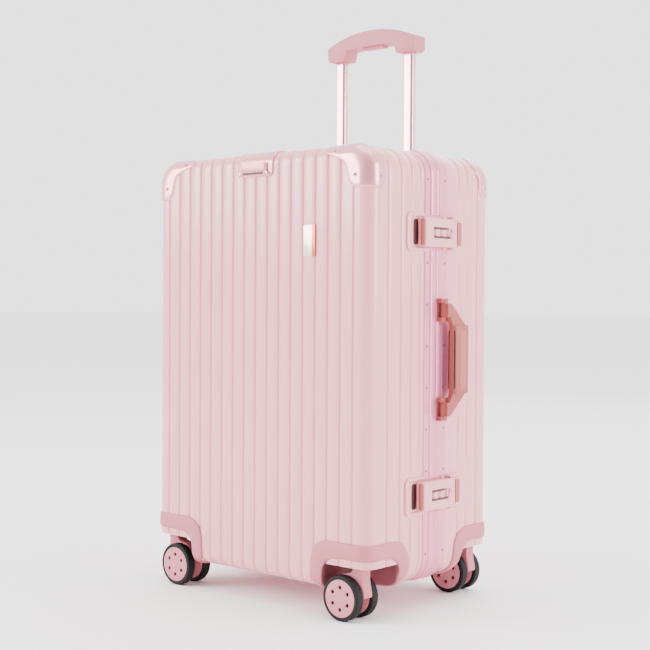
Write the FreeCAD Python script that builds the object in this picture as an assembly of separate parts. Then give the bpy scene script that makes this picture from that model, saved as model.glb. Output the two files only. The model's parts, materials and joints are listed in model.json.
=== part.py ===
import FreeCAD, Part
import math
import os
from FreeCAD import Vector

# Hard shell frame suitcase with four twin-wheel casters, millimetres.
# X is the width (+X is the side with the latches and the carry handle), the front face looks to -Y,
# Z is up and the wheels stand on z = 0. Everything is drawn about the middle of the case and shifted
# along X and Y at the end, so that the origin is under the middle of the whole object.

# ---- case
CASE_W = 406.0
CASE_D = 268.0
CASE_H = 580.0
GROUND_GAP = 37.5
CORNER_R = 34.0
FACE_R = 17.5
WALL = 2.6
PARTING_Y = 5.0
RIB_PITCH = 22.0
GROOVE_W = 2.6
GROOVE_DEEP = 1.1
FRONT_GROOVES = (38.0, 65.0, 87.0, 106.0)
REAR_GROOVES = (32.0, 55.0, 75.0)

# ---- aluminium frame round the opening
FRAME_GAP = 0.4
BAND_HALF = 14.0
BAND_PROUD = 3.0
FLANGE_W = 11.0
FLANGE_T = 1.2
FRAME_INNER = 9.0
LEG_T = 1.5
RIM_DEEP = 4.0
SEAL_W = 3.0
SEAL_T = 2.5
RIVET_INSET = 5.3
RIVET_R = 1.7
RIVET_HEAD = 0.9
RIVET_PITCH = 52.0

# ---- corner pieces
GUARD_T = 1.5
GUARD_ALONG = 79.0
GUARD_DOWN = 57.0
GUARD_DEEP = 36.0
GUARD_BITE_R = 44.0
GUARD_SIDE_BITE_R = 15.0
HOUSING_T = 2.2
HOUSING_ALONG = 98.0
HOUSING_FRAME_GAP = 20.0
HOUSING_UP = 65.0
HOUSING_ROUND = 28.0
WELL_WALL = 3.0
WELL_TOP_Z = 80.0

# ---- casters
WHEEL_R = 30.0
HUB_R = 24.5
WHEEL_W = 12.5
TYRE_ROUND = 2.2
WHEEL_GAP = 0.5
WEB_T = 17.0
TRAIL = 19.0
CASTER_IN_X = 25.0
CASTER_IN_Y = 18.8
AXLE_R = 3.0
AXLE_BOSS_R = 8.0
AXLE_HEAD_R = 5.0
AXLE_HEAD_T = 1.4
HUB_CAP_T = 0.3
STEM_R = 5.0
STEM_LONG = 14.0
NECK_R = 11.0
NECK_LOW_Z = 42.0
NECK_FOOT_Z = 62.0
FENDER_R = 30.5
FENDER_FOOT = 1.0
FENDER_TAIL = 14.0
COLLAR_R = 15.0
COLLAR_T = 5.0
HUB_HOLES = 6
HUB_HOLE_R = 2.7
HUB_HOLE_RING = 14.5

# ---- fits
RUNNING = 0.05
CLEAR = 0.4

# ---- latches
LATCH_ZS = (GROUND_GAP + CASE_H - 110.0, GROUND_GAP + 119.0)
LEVER_LONG = 74.0
LEVER_HIGH = 38.0
LEVER_LOW_H = 3.5
LEVER_TOP_H = 13.0
LEVER_PIVOT_H = 6.5
LEVER_PIVOT_IN = 3.5
LEVER_PIN_R = 2.0
LEVER_HEEL_R = 2.9
BASE_T = 1.5
BASE_LONG = 34.0
EAR_T = 3.0
TRAY_LONG = 39.0
TRAY_HIGH = 50.0
DIALS = 3
DIAL_R = 6.0
DIAL_W = 5.0
DIAL_PITCH = 14.0
DIAL_H = 8.0
DIAL_AXLE_R = 1.2
SLIDER_LONG = 8.0
SLIDER_WIDE = 5.0
SLIDER_T = 2.0
SLIDER_TRAVEL = 5.0

# ---- carry handle
HANDLE_Z = GROUND_GAP + 299.5
BRACKET_SPACING = 134.0
BRACKET_HIGH = 31.0
BRACKET_OUT = 10.5
BRACKET_EAR = 6.0
HANDLE_PIN_R = 2.5
HANDLE_PIN_H = 6.0
HANDLE_ROOT_R = 4.8
GRIP_LONG = 92.0
GRIP_WIDE = 33.0
GRIP_NEAR = 17.0
GRIP_UNDER = 9.0
HANDLE_OUT = 22.0
GRIP_ROUND = 5.0
ARM_LOW_H = 11.0
ARM_TOP_H = 18.0

# ---- telescopic handle
TUBE_X = 66.0
OUTER_TUBE = (24.0, 18.0, 1.2)
MIDDLE_TUBE = (21.0, 15.0, 1.2)
INNER_TUBE = (18.0, 12.0, 1.2)
TUBE_FOOT = 25.0
TUBE_ROUND = 4.0
MIDDLE_RISE = 200.0
INNER_RISE = 50.0
TUBE_OVERLAP = 50.0
BEZEL_T = 4.0
BEZEL_W = 190.0
BEZEL_D = 30.0
GRIP_FOOT_UP = 166.0
TROLLEY_HALF = 84.0
TROLLEY_TOP = 40.0
TROLLEY_END_UP = 22.0
TROLLEY_UNDER = 15.0
TROLLEY_DEEP = 27.0
SOCKET_HALF = 16.0
BUTTON_LONG = 40.0
BUTTON_WIDE = 12.0
BUTTON_T = 7.0
BUTTON_OUT = 2.0
BUTTON_TRAVEL = 3.5

# ---- hinges
HINGE_R = 3.2
HINGE_PIN_R = 1.5
HINGE_LONG = 60.0
HINGE_FROM_END = 130.0
LEAF_T = 1.6
LEAF_W = 13.0

# ---- front fittings
HOOK_PLATE_W = 66.0
HOOK_PLATE_DOWN = 33.0
HOOK_PLATE_BACK = 24.0
HOOK_PLATE_T = 2.4
HOOK_W = 48.0
HOOK_H = 14.0
HOOK_T = 3.0
HOOK_GAP = 0.5
HOOK_PIN_R = 1.2
HOOK_PIVOT_OUT = 2.3
HOOK_PIVOT_UP = 4.0
BADGE_W = 21.0
BADGE_H = 41.5
BADGE_T = 1.4
BADGE_X = 100.5
BADGE_UNDER_TOP = 122.5

# ---- lining
LINING_T = 1.5
LINING_IN = 10.0
LINING_FRONT_GAP = 3.0

HALF_W = CASE_W / 2
HALF_D = CASE_D / 2
BOTTOM = GROUND_GAP
TOP = GROUND_GAP + CASE_H
MID_Z = (TOP + BOTTOM) / 2
HOUSING_DEEP = HALF_D - PARTING_Y - BAND_HALF - FLANGE_W - HOUSING_FRAME_GAP
HINGE_N = BAND_PROUD + HINGE_R + 0.3
HINGE_OUT = HINGE_N + HINGE_R
ORIGIN_X = (HANDLE_OUT - HINGE_OUT) / 2
CASTER_X = HALF_W - CASTER_IN_X
CASTER_Y = HALF_D - CASTER_IN_Y
TWIN_HALF = WEB_T / 2 + WHEEL_GAP + WHEEL_W
WELL_R = math.hypot(TRAIL + WHEEL_R, TWIN_HALF) + 1.6
INNER_LENGTH_IN = MIDDLE_RISE + INNER_RISE + TUBE_OVERLAP
TUBE_Y = HALF_D - WALL - 1.0 - OUTER_TUBE[1] / 2
FRONT_OUT = HALF_D + HOOK_PLATE_T + HOOK_GAP + HOOK_T
REAR_OUT = CASTER_Y + TWIN_HALF + HUB_CAP_T
ORIGIN_Y = (REAR_OUT - FRONT_OUT) / 2
CORNERS = ((1, -1, "front_right"), (-1, -1, "front_left"), (1, 1, "rear_right"), (-1, 1, "rear_left"))


# ---- small builders
def box(x0, x1, y0, y1, z0, z1):
    """Box between two corners."""
    return Part.makeBox(x1 - x0, y1 - y0, z1 - z0, Vector(x0, y0, z0))


def rod(radius, start, end):
    """Cylinder from one point to another."""
    line = Vector(*end) - Vector(*start)
    return Part.makeCylinder(radius, line.Length, Vector(*start), line)


def rounded_rect(u0, u1, v0, v1, radius, place):
    """Closed wire of a rounded rectangle; place turns (u, v) into a point."""
    radius = min(radius, (u1 - u0) / 2 - 0.01, (v1 - v0) / 2 - 0.01)
    k = radius * (1 - math.sqrt(0.5))
    corners = (
        ((u1 - radius, v0), (u1 - k, v0 + k), (u1, v0 + radius)),
        ((u1, v1 - radius), (u1 - k, v1 - k), (u1 - radius, v1)),
        ((u0 + radius, v1), (u0 + k, v1 - k), (u0, v1 - radius)),
        ((u0, v0 + radius), (u0 + k, v0 + k), (u0 + radius, v0)),
    )
    edges = []
    for i, corner in enumerate(corners):
        a, b, c = (place(*p) for p in corner)
        edges.append(Part.Arc(a, b, c).toShape())
        edges.append(Part.makeLine(c, place(*corners[(i + 1) % 4][0])))
    return Part.Wire(edges)


def prism(offset, y0, y1):
    """Case outline grown by offset, from y0 to y1."""
    wire = rounded_rect(-HALF_W - offset, HALF_W + offset, BOTTOM - offset, TOP + offset,
                        CORNER_R + offset, lambda u, v: Vector(u, y0, v))
    return Part.Face(wire).extrude(Vector(0, y1 - y0, 0))


def ring(outer, inner, y0, y1):
    """Ring between two offsets of the case outline."""
    return prism(outer, y0, y1).cut(prism(inner, y0 - 1, y1 + 1))


def half_block(offset, side, rim_y):
    """Solid block of one half of the case, grown by offset, with its face edge rounded."""
    face_y = side * (HALF_D + offset)
    low, high = sorted((face_y, rim_y))
    block = prism(offset, low, high)
    edges = [e for e in block.Edges if all(abs(v.Point.y - face_y) < 1e-6 for v in e.Vertexes)]
    return block.makeFillet(FACE_R + offset, edges)


def mirrored(shape, across_x):
    """The shape, or its mirror image in the plane x = 0."""
    return shape.mirror(Vector(0, 0, 0), Vector(1, 0, 0)) if across_x else shape


def both_sides(shape):
    """A shape and its mirror image in x, as one group."""
    return Part.makeCompound([shape, mirrored(shape, True)])


def well(side_x, side_y, radius, top_z):
    """Round well over a caster."""
    centre = Vector(side_x * CASTER_X, side_y * CASTER_Y, BOTTOM - 10)
    return Part.makeCylinder(radius, top_z - centre.z, centre)


# ---- shells
def rim(side):
    """Where a shell ends inside its frame."""
    return PARTING_Y + side * BAND_HALF


def groove_slabs(side):
    """Slabs where the grooves of one half run."""
    slabs = []
    count = int((CASE_W - 2 * FACE_R) / RIB_PITCH)
    for k in range(count + 1):
        x = (k - count / 2) * RIB_PITCH
        y0, y1 = sorted((side * (HALF_D + 1), side * (HALF_D - FACE_R - 3)))
        slabs.append(box(x - GROOVE_W / 2, x + GROOVE_W / 2, y0, y1, BOTTOM - 1, TOP + 1))
    for inset in (FRONT_GROOVES if side < 0 else REAR_GROOVES):
        y = side * (HALF_D - inset)
        slabs.append(box(-HALF_W - 1, HALF_W + 1, y - GROOVE_W / 2, y + GROOVE_W / 2, BOTTOM - 1, TOP + 1))
    return Part.makeCompound(slabs)


def latch_pads(side):
    """Smooth patches beside the latches and the carry handle, which the grooves leave out."""
    y0, y1 = sorted((rim(side), side * (HALF_D - FRONT_GROOVES[1] - 3)))
    pads = [box(HALF_W - 8, HALF_W + 4, y0, y1, z - 36, z + 36) for z in LATCH_ZS]
    if side > 0:
        pads.append(box(HALF_W - 8, HALF_W + 4, y0, y1, HANDLE_Z - 70, HANDLE_Z + 66))
    return Part.makeCompound(pads)


def shell(side):
    """One moulded shell half, grooved, with its caster corners cut out."""
    body = half_block(0, side, rim(side))
    skin = body.cut(half_block(-GROOVE_DEEP, side, rim(side)))
    grooves = skin.common(groove_slabs(side)).cut(latch_pads(side))
    body = body.cut(half_block(-WALL, side, rim(side) - side))
    body = body.cut(grooves)
    for sx in (1, -1):
        body = body.cut(well(sx, side, WELL_R + WELL_WALL, WELL_TOP_Z + WELL_WALL))
    if side > 0:
        for sx in (1, -1):
            body = body.cut(tube_solid(sx * TUBE_X, OUTER_TUBE, TOP - FACE_R - 2, TOP + 10, 0, CLEAR))
    return body


# ---- frame
def frame(side):
    """One half of the aluminium frame: a channel section with a slot for the shell's edge."""
    start = PARTING_Y + side * FRAME_GAP / 2
    band_end = rim(side)
    end = band_end + side * FLANGE_W
    half = ring(BAND_PROUD, -FRAME_INNER, *sorted((start, band_end)))
    half = half.cut(ring(0, -WALL, *sorted((start + side * RIM_DEEP, band_end + side))))
    hollow = sorted((start + side * RIM_DEEP, band_end + side))
    half = half.cut(ring(-WALL - LEG_T, LEG_T - FRAME_INNER, *hollow))
    half = half.fuse(ring(FLANGE_T, 0, *sorted((band_end, end))))
    half = half.fuse(ring(-WALL, -WALL - LEG_T, *sorted((band_end, end))))
    for z in LATCH_ZS:
        notch = box(HALF_W + FLANGE_T, HALF_W + 10, *sorted((start - side, band_end + side)),
                    z - LEVER_HIGH / 2 - 5, z + LEVER_HIGH / 2 + 5)
        half = half.cut(notch)
    if side > 0:
        half = half.cut(seal_ring(0.0))
    return half.removeSplitter()


def seal_ring(clearance):
    """Rubber seal let into the rear frame's edge."""
    start = PARTING_Y + FRAME_GAP / 2
    middle = -(FRAME_INNER - BAND_PROUD) / 2 - 1.5
    return ring(middle + SEAL_W / 2 + clearance, middle - SEAL_W / 2 - clearance, start, start + SEAL_T)


def rivet_places(side):
    """Places and outward directions of the rivets along one flange."""
    y = rim(side) + side * RIVET_INSET
    places = []
    span_z = CASE_H - 2 * CORNER_R - 10
    rows = int(span_z / RIVET_PITCH)
    for k in range(rows + 1):
        z = MID_Z + (k - rows / 2) * span_z / rows
        for sx in (1, -1):
            if sx > 0 and min(abs(z - lz) for lz in LATCH_ZS) < LEVER_HIGH / 2 + 12:
                continue
            places.append((Vector(sx * HALF_W, y, z), Vector(sx, 0, 0)))
    span_x = CASE_W - 2 * CORNER_R - 10
    columns = int(span_x / RIVET_PITCH)
    for k in range(columns + 1):
        x = (k - columns / 2) * span_x / columns
        places.append((Vector(x, y, TOP), Vector(0, 0, 1)))
        places.append((Vector(x, y, BOTTOM), Vector(0, 0, -1)))
    return places


def rivets(side):
    """Dome-head rivets through the frame's flange."""
    solids = []
    for at, out in rivet_places(side):
        from_bracket = min(abs(at.z - HANDLE_Z - s * BRACKET_SPACING / 2) for s in (1, -1))
        if side > 0 and out.x > 0 and from_bracket < 20:
            continue
        base = at + out * FLANGE_T
        head = Part.makeCone(RIVET_R, RIVET_R * 0.55, RIVET_HEAD, base, out)
        solids.append(head)
    return Part.makeCompound(solids)


# ---- corner guards and caster housings
def guard_region():
    """Space that a top corner guard fills, at +X on the front."""
    region = box(HALF_W - GUARD_ALONG, HALF_W + 9, -HALF_D - 9, -HALF_D + GUARD_DEEP,
                 TOP - GUARD_DOWN, TOP + 9)
    bite = rod(GUARD_BITE_R, (HALF_W - GUARD_ALONG, -HALF_D - 12, TOP - GUARD_DOWN),
               (HALF_W - GUARD_ALONG, -HALF_D + GUARD_DEEP + 12, TOP - GUARD_DOWN))
    side_bite = rod(GUARD_SIDE_BITE_R, (HALF_W - GUARD_ALONG, -HALF_D + GUARD_DEEP, TOP - GUARD_DOWN),
                    (HALF_W + 12, -HALF_D + GUARD_DEEP, TOP - GUARD_DOWN))
    return region.cut(bite).cut(side_bite)


def to_side(shape, side):
    """The shape drawn for the front, or its mirror image for the rear."""
    return shape if side < 0 else shape.mirror(Vector(0, 0, 0), Vector(0, 1, 0))


def corner_guards(side):
    """Metal caps over the two top corners of one half."""
    skin = half_block(GUARD_T, -1, -10).cut(half_block(0, -1, -10))
    guard = skin.common(guard_region())
    for at, out in guard_rivets():
        guard = guard.fuse(Part.makeCone(3.4, 2.2, 1.1, at, out))
    return to_side(both_sides(guard), side)


def guard_rivets():
    """Places and directions of the three rivets of a guard."""
    return (
        (Vector(HALF_W - GUARD_ALONG + 40, -HALF_D - GUARD_T + 0.1, TOP - FACE_R - 1),
         Vector(0, -1, 0)),
        (Vector(HALF_W - 22, -HALF_D - GUARD_T + 0.1, TOP - GUARD_DOWN + 17), Vector(0, -1, 0)),
        (Vector(HALF_W + GUARD_T - 0.1, -HALF_D + FACE_R + 8, TOP - CORNER_R - 4), Vector(1, 0, 0)),
    )


def housing_region():
    """Space that a caster housing fills, at +X on the front."""
    y0, y1 = -HALF_D - 12, -HALF_D + HOUSING_DEEP
    front = rounded_rect(HALF_W - HOUSING_ALONG, HALF_W + 60, BOTTOM - 60, BOTTOM + HOUSING_UP,
                         HOUSING_ROUND, lambda u, v: Vector(u, y0, v))
    side = rounded_rect(-HALF_D - 60, y1, BOTTOM - 60, BOTTOM + HOUSING_UP, HOUSING_ROUND,
                        lambda u, v: Vector(HALF_W - HOUSING_ALONG - 5, u, v))
    front_solid = Part.Face(front).extrude(Vector(0, y1 - y0, 0))
    return front_solid.common(Part.Face(side).extrude(Vector(HOUSING_ALONG + 20, 0, 0)))


def caster_housings(side):
    """Moulded corner pieces with a round well, a stem boss and an outer lip, for one half."""
    grown = half_block(HOUSING_T, -1, -10)
    plate = grown.cut(half_block(0, -1, -10)).common(housing_region())
    liner = well(1, -1, WELL_R + WELL_WALL, WELL_TOP_Z + WELL_WALL).common(grown)
    boss_top = WELL_TOP_Z + STEM_LONG + 3
    boss = rod(STEM_R + 6, (CASTER_X, -CASTER_Y, WELL_TOP_Z), (CASTER_X, -CASTER_Y, boss_top))
    piece = plate.fuse(liner).fuse(boss.common(half_block(-WALL - CLEAR, -1, -10)))
    piece = piece.cut(well(1, -1, WELL_R, WELL_TOP_Z))
    piece = piece.cut(rod(STEM_R + RUNNING, (CASTER_X, -CASTER_Y, WELL_TOP_Z - 1),
                          (CASTER_X, -CASTER_Y, WELL_TOP_Z + STEM_LONG + 0.5)))
    return to_side(both_sides(piece), side)


# ---- casters
def fork(side_x, side_y):
    """Swivelling fork: stem, collar, neck, a mudguard body between the wheels, and the axle."""
    cx, cy = side_x * CASTER_X, side_y * CASTER_Y
    wx = cx - side_x * TRAIL
    half = WEB_T / 2
    top = WELL_TOP_Z - CLEAR
    shape = rod(STEM_R, (cx, cy, top - 1), (cx, cy, WELL_TOP_Z + STEM_LONG))
    shape = shape.fuse(rod(COLLAR_R, (cx, cy, top - COLLAR_T), (cx, cy, top)))
    between = box(cx - NECK_R, cx + NECK_R, cy - half, cy + half, NECK_LOW_Z, NECK_FOOT_Z)
    shape = shape.fuse(rod(NECK_R, (cx, cy, NECK_LOW_Z), (cx, cy, NECK_FOOT_Z)).common(between))
    shape = shape.fuse(rod(NECK_R, (cx, cy, NECK_FOOT_Z), (cx, cy, top - 1)))
    x0, x1 = sorted((wx - side_x * FENDER_TAIL, wx + side_x * (FENDER_R + 1)))
    mudguard = rod(FENDER_R, (wx, cy - half, WHEEL_R), (wx, cy + half, WHEEL_R))
    above = box(x0, x1, cy - half, cy + half, WHEEL_R + FENDER_FOOT, WHEEL_R + FENDER_R + 1)
    shape = shape.fuse(mudguard.common(above))
    shape = shape.fuse(rod(AXLE_BOSS_R, (wx, cy - half, WHEEL_R), (wx, cy + half, WHEEL_R)))
    head_at = TWIN_HALF - AXLE_HEAD_T
    shape = shape.fuse(rod(AXLE_R, (wx, cy - head_at, WHEEL_R), (wx, cy + head_at, WHEEL_R)))
    for s in (1, -1):
        inner, outer = cy + s * (head_at - 0.2), cy + s * TWIN_HALF
        shape = shape.fuse(rod(AXLE_HEAD_R, (wx, inner, WHEEL_R), (wx, outer, WHEEL_R)))
    return shape


def wheel(side_x, side_y, face):
    """Tyre and hub of one wheel; face is -1 for the wheel towards -Y, 1 for the other."""
    wx = side_x * (CASTER_X - TRAIL)
    near = side_y * CASTER_Y + face * (WEB_T / 2 + WHEEL_GAP)
    far = near + face * WHEEL_W
    tyre = rod(WHEEL_R, (wx, near, WHEEL_R), (wx, far, WHEEL_R))
    rims = [e for e in tyre.Edges if len(e.Vertexes) == 1]
    tyre = tyre.makeFillet(TYRE_ROUND, rims)
    tyre = tyre.cut(rod(HUB_R, (wx, near - face, WHEEL_R), (wx, far + face, WHEEL_R)))
    hub = rod(HUB_R, (wx, near, WHEEL_R), (wx, far + face * HUB_CAP_T, WHEEL_R))
    hub = hub.cut(rod(AXLE_R + RUNNING, (wx, near - face, WHEEL_R), (wx, far + face * 2, WHEEL_R)))
    recess = AXLE_HEAD_T + 0.6
    hub = hub.cut(rod(AXLE_HEAD_R + CLEAR, (wx, far - face * recess, WHEEL_R), (wx, far + face * 2, WHEEL_R)))
    for k in range(HUB_HOLES):
        turn = 2 * math.pi * (k + 0.5) / HUB_HOLES
        x = wx + HUB_HOLE_RING * math.cos(turn)
        z = WHEEL_R + HUB_HOLE_RING * math.sin(turn)
        hub = hub.cut(rod(HUB_HOLE_R, (x, far - face * 5, z), (x, far + face * 2, z)))
    return tyre, hub


# ---- latches
def lever(z):
    """Lock body that flips out: windows for the dials, a pocket for the slider, and the dials' axle."""
    x0, x1 = HALF_W + LEVER_LOW_H, HALF_W + LEVER_TOP_H
    y0, y1 = -LEVER_LONG / 2, LEVER_LONG / 2
    body = box(x0, x1, y0, y1, z - LEVER_HIGH / 2, z + LEVER_HIGH / 2)
    upright = [e for e in body.Edges if e.Length > LEVER_HIGH - 0.01 and e.Length < LEVER_HIGH + 0.01
               and e.Vertexes[0].Point.x > x1 - 0.01]
    body = body.makeFillet(2.5, upright)
    heel = [e for e in body.Edges if abs(e.Length - LEVER_HIGH) < 0.01
            and e.Vertexes[0].Point.x < x0 + 0.01 and e.Vertexes[0].Point.y > y1 - 0.01]
    body = body.makeFillet(LEVER_HEEL_R, heel)
    for k in range(DIALS):
        y = dial_y(k)
        body = body.cut(box(x0 - 1, x1 + 1, y - DIAL_W / 2 - CLEAR, y + DIAL_W / 2 + CLEAR,
                            z - DIAL_R - 1, z + DIAL_R + 1))
    body = body.cut(slider_box(z, CLEAR / 2, SLIDER_TRAVEL))
    body = body.cut(rod(LEVER_PIN_R + RUNNING, (lever_pivot()[0], lever_pivot()[1], z - LEVER_HIGH),
                        (lever_pivot()[0], lever_pivot()[1], z + LEVER_HIGH)))
    axle = rod(DIAL_AXLE_R, (HALF_W + DIAL_H, dial_y(0) - 6, z), (HALF_W + DIAL_H, dial_y(DIALS - 1) + 6, z))
    return body.fuse(axle)


def dial_y(k):
    """Place of one dial along the lever."""
    return (k - 1) * DIAL_PITCH + 1.0


def dial(z, k):
    """One numbered ring of the lock."""
    y = dial_y(k)
    disc = rod(DIAL_R, (HALF_W + DIAL_H, y - DIAL_W / 2, z), (HALF_W + DIAL_H, y + DIAL_W / 2, z))
    bore = rod(DIAL_AXLE_R + RUNNING, (HALF_W + DIAL_H, y - DIAL_W, z), (HALF_W + DIAL_H, y + DIAL_W, z))
    return disc.cut(bore)


def slider_box(z, clearance, travel):
    """Space of the release slider, grown by a clearance and its travel."""
    y = dial_y(DIALS - 1) + DIAL_W / 2 + 2.6 + SLIDER_WIDE / 2
    return box(HALF_W + LEVER_TOP_H - SLIDER_T - clearance, HALF_W + LEVER_TOP_H + 0.6 + clearance,
               y - SLIDER_WIDE / 2 - clearance, y + SLIDER_WIDE / 2 + clearance,
               z - SLIDER_LONG / 2 - clearance - travel / 2, z + SLIDER_LONG / 2 + clearance + travel / 2)


def slider(z):
    """Release slider, at the low end of its travel."""
    low = slider_box(z, 0, 0)
    low.translate(Vector(0, 0, -SLIDER_TRAVEL / 2))
    return low


def lever_pivot():
    """Axis of a lever in X and Y."""
    return HALF_W + LEVER_PIVOT_H, LEVER_LONG / 2 - LEVER_PIVOT_IN


def lock_base(z):
    """Plate on the rear half with two ears and the lever's pin."""
    px, py = lever_pivot()
    plate = box(HALF_W + FLANGE_T, HALF_W + FLANGE_T + BASE_T - 0.4,
                rim(1), rim(1) + FLANGE_W + 0.5,
                z - LEVER_HIGH / 2 - EAR_T - CLEAR, z + LEVER_HIGH / 2 + EAR_T + CLEAR)
    tail = box(HALF_W, HALF_W + FLANGE_T + BASE_T - 0.4, rim(1) + FLANGE_W, rim(1) + BASE_LONG,
               z - LEVER_HIGH / 2 - EAR_T - CLEAR, z + LEVER_HIGH / 2 + EAR_T + CLEAR)
    lump = box(HALF_W + 1, HALF_W + LEVER_TOP_H - 4, py + 9.5, rim(1) + BASE_LONG,
               z - LEVER_HIGH / 2, z + LEVER_HIGH / 2)
    shape = plate.fuse(tail).fuse(lump)
    for s in (1, -1):
        z0, z1 = sorted((z + s * (LEVER_HIGH / 2 + CLEAR), z + s * (LEVER_HIGH / 2 + CLEAR + EAR_T)))
        shape = shape.fuse(box(HALF_W + FLANGE_T, px + 4.5, py - 5, py + 5, z0, z1))
    pin = rod(LEVER_PIN_R, (px, py, z - LEVER_HIGH / 2 - 2), (px, py, z + LEVER_HIGH / 2 + 2))
    return shape.fuse(pin)


def latch_tray(z):
    """Recess tray on the front half with the catch lip that a lever closes over."""
    y0, y1 = rim(-1) - FLANGE_W - TRAY_LONG, rim(-1) - FLANGE_W
    tray = box(HALF_W, HALF_W + 2.6, y0, y1, z - TRAY_HIGH / 2, z + TRAY_HIGH / 2)
    upright = [e for e in tray.Edges if abs(e.Length - 2.6) < 1e-6 and e.Vertexes[0].Point.y < y0 + 0.01]
    tray = tray.makeFillet(8.0, upright)
    low, high = z - TRAY_HIGH / 2 + 4, z + TRAY_HIGH / 2 - 4
    return tray.cut(box(HALF_W + 1.0, HALF_W + 5, y0 + 8, y1 + 1, low, high))


# ---- carry handle
def bracket(sign):
    """C-shaped bracket on the rear frame with a pin along Z."""
    z = HANDLE_Z + sign * BRACKET_SPACING / 2
    y0 = PARTING_Y + 0.8
    low, high = z - BRACKET_HIGH / 2, z + BRACKET_HIGH / 2
    base_x = HALF_W + BAND_PROUD
    shape = box(base_x, base_x + 1.0, y0, rim(1) - 0.2, low, high)
    for z0, z1 in ((low, low + BRACKET_EAR), (high - BRACKET_EAR, high)):
        y1 = 2 * handle_pivot()[1] - y0
        shape = shape.fuse(box(base_x, HALF_W + BRACKET_OUT, y0, y1, z0, z1))
    px, py = handle_pivot()
    shape = shape.cut(rod(HANDLE_ROOT_R + 0.8, (px, py, low + BRACKET_EAR), (px, py, high - BRACKET_EAR)))
    return shape.fuse(rod(HANDLE_PIN_R, (px, py, low + 1), (px, py, high - 1)))


def handle_pivot():
    """Axis of the carry handle in X and Y."""
    return HALF_W + BAND_PROUD + HANDLE_PIN_H, PARTING_Y + 8.0


def carry_handle():
    """Bail handle folded flat over the rear half."""
    px, py = handle_pivot()
    y0 = PARTING_Y + GRIP_NEAR
    y1 = y0 + GRIP_WIDE
    x0, x1 = HALF_W + GRIP_UNDER, HALF_W + HANDLE_OUT
    grip = box(x0, x1, y0, y1, HANDLE_Z - GRIP_LONG / 2, HANDLE_Z + GRIP_LONG / 2)
    along = [e for e in grip.Edges if abs(e.Length - GRIP_LONG) < 1e-6]
    shape = grip.makeFillet(GRIP_ROUND, along)
    root_half = BRACKET_HIGH / 2 - BRACKET_EAR - CLEAR
    for s in (1, -1):
        zb = HANDLE_Z + s * BRACKET_SPACING / 2
        ze = HANDLE_Z + s * GRIP_LONG / 2
        outline = [(py - 3, zb + s * root_half), (py + 4, zb + s * root_half), (y1 - 4, ze),
                   (y1 - 4, ze - s * 9), (y0 + 4, ze - s * 9), (y0 + 1, ze - s * 2),
                   (py + 3, zb - s * root_half), (py - 3, zb - s * root_half)]
        points = [Vector(HALF_W + ARM_LOW_H + 0.3, y, z) for y, z in outline]
        arm = Part.Face(Part.makePolygon(points + points[:1])).extrude(Vector(ARM_TOP_H - ARM_LOW_H, 0, 0))
        shape = shape.fuse(arm)
        shape = shape.fuse(rod(HANDLE_ROOT_R, (px, py, zb - root_half), (px, py, zb + root_half)))
        low, high = zb - root_half - 1, zb + root_half + 1
        shape = shape.cut(rod(HANDLE_PIN_R + RUNNING, (px, py, low), (px, py, high)))
    return shape


# ---- telescopic handle
def tube_solid(x, size, z0, z1, hollow, grow=0.0):
    """Rounded rectangular tube, or a bar when hollow is 0, grown by a clearance."""
    w, d, wall = size
    wire = rounded_rect(x - w / 2 - grow, x + w / 2 + grow, TUBE_Y - d / 2 - grow, TUBE_Y + d / 2 + grow,
                        TUBE_ROUND + grow, lambda u, v: Vector(u, v, z0))
    tube = Part.Face(wire).extrude(Vector(0, 0, z1 - z0))
    if not hollow:
        return tube
    inner = rounded_rect(x - w / 2 + wall, x + w / 2 - wall, TUBE_Y - d / 2 + wall, TUBE_Y + d / 2 - wall,
                         TUBE_ROUND - wall, lambda u, v: Vector(u, v, z0 - 1))
    return tube.cut(Part.Face(inner).extrude(Vector(0, 0, z1 - z0 + 2)))


def tubes(size, z0, z1):
    """A pair of tubes."""
    return Part.makeCompound([tube_solid(sx * TUBE_X, size, z0, z1, 1) for sx in (1, -1)])


def bezel():
    """Plate on the top of the case that the tubes come out of."""
    back = TUBE_Y + OUTER_TUBE[1] / 2 + 2
    wire = rounded_rect(-BEZEL_W / 2, BEZEL_W / 2, TUBE_Y - BEZEL_D / 2, back, 8,
                        lambda u, v: Vector(u, v, TOP - FACE_R))
    plate = Part.Face(wire).extrude(Vector(0, 0, FACE_R + BEZEL_T))
    shape = plate.cut(half_block(0, 1, rim(1) - 20))
    for sx in (1, -1):
        shape = shape.cut(tube_solid(sx * TUBE_X, OUTER_TUBE, TOP - FACE_R - 2, TOP + 0.2, 0, 0.1))
        shape = shape.cut(tube_solid(sx * TUBE_X, MIDDLE_TUBE, TOP - 2, TOP + BEZEL_T + 2, 0, 0.3))
    return shape


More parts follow.
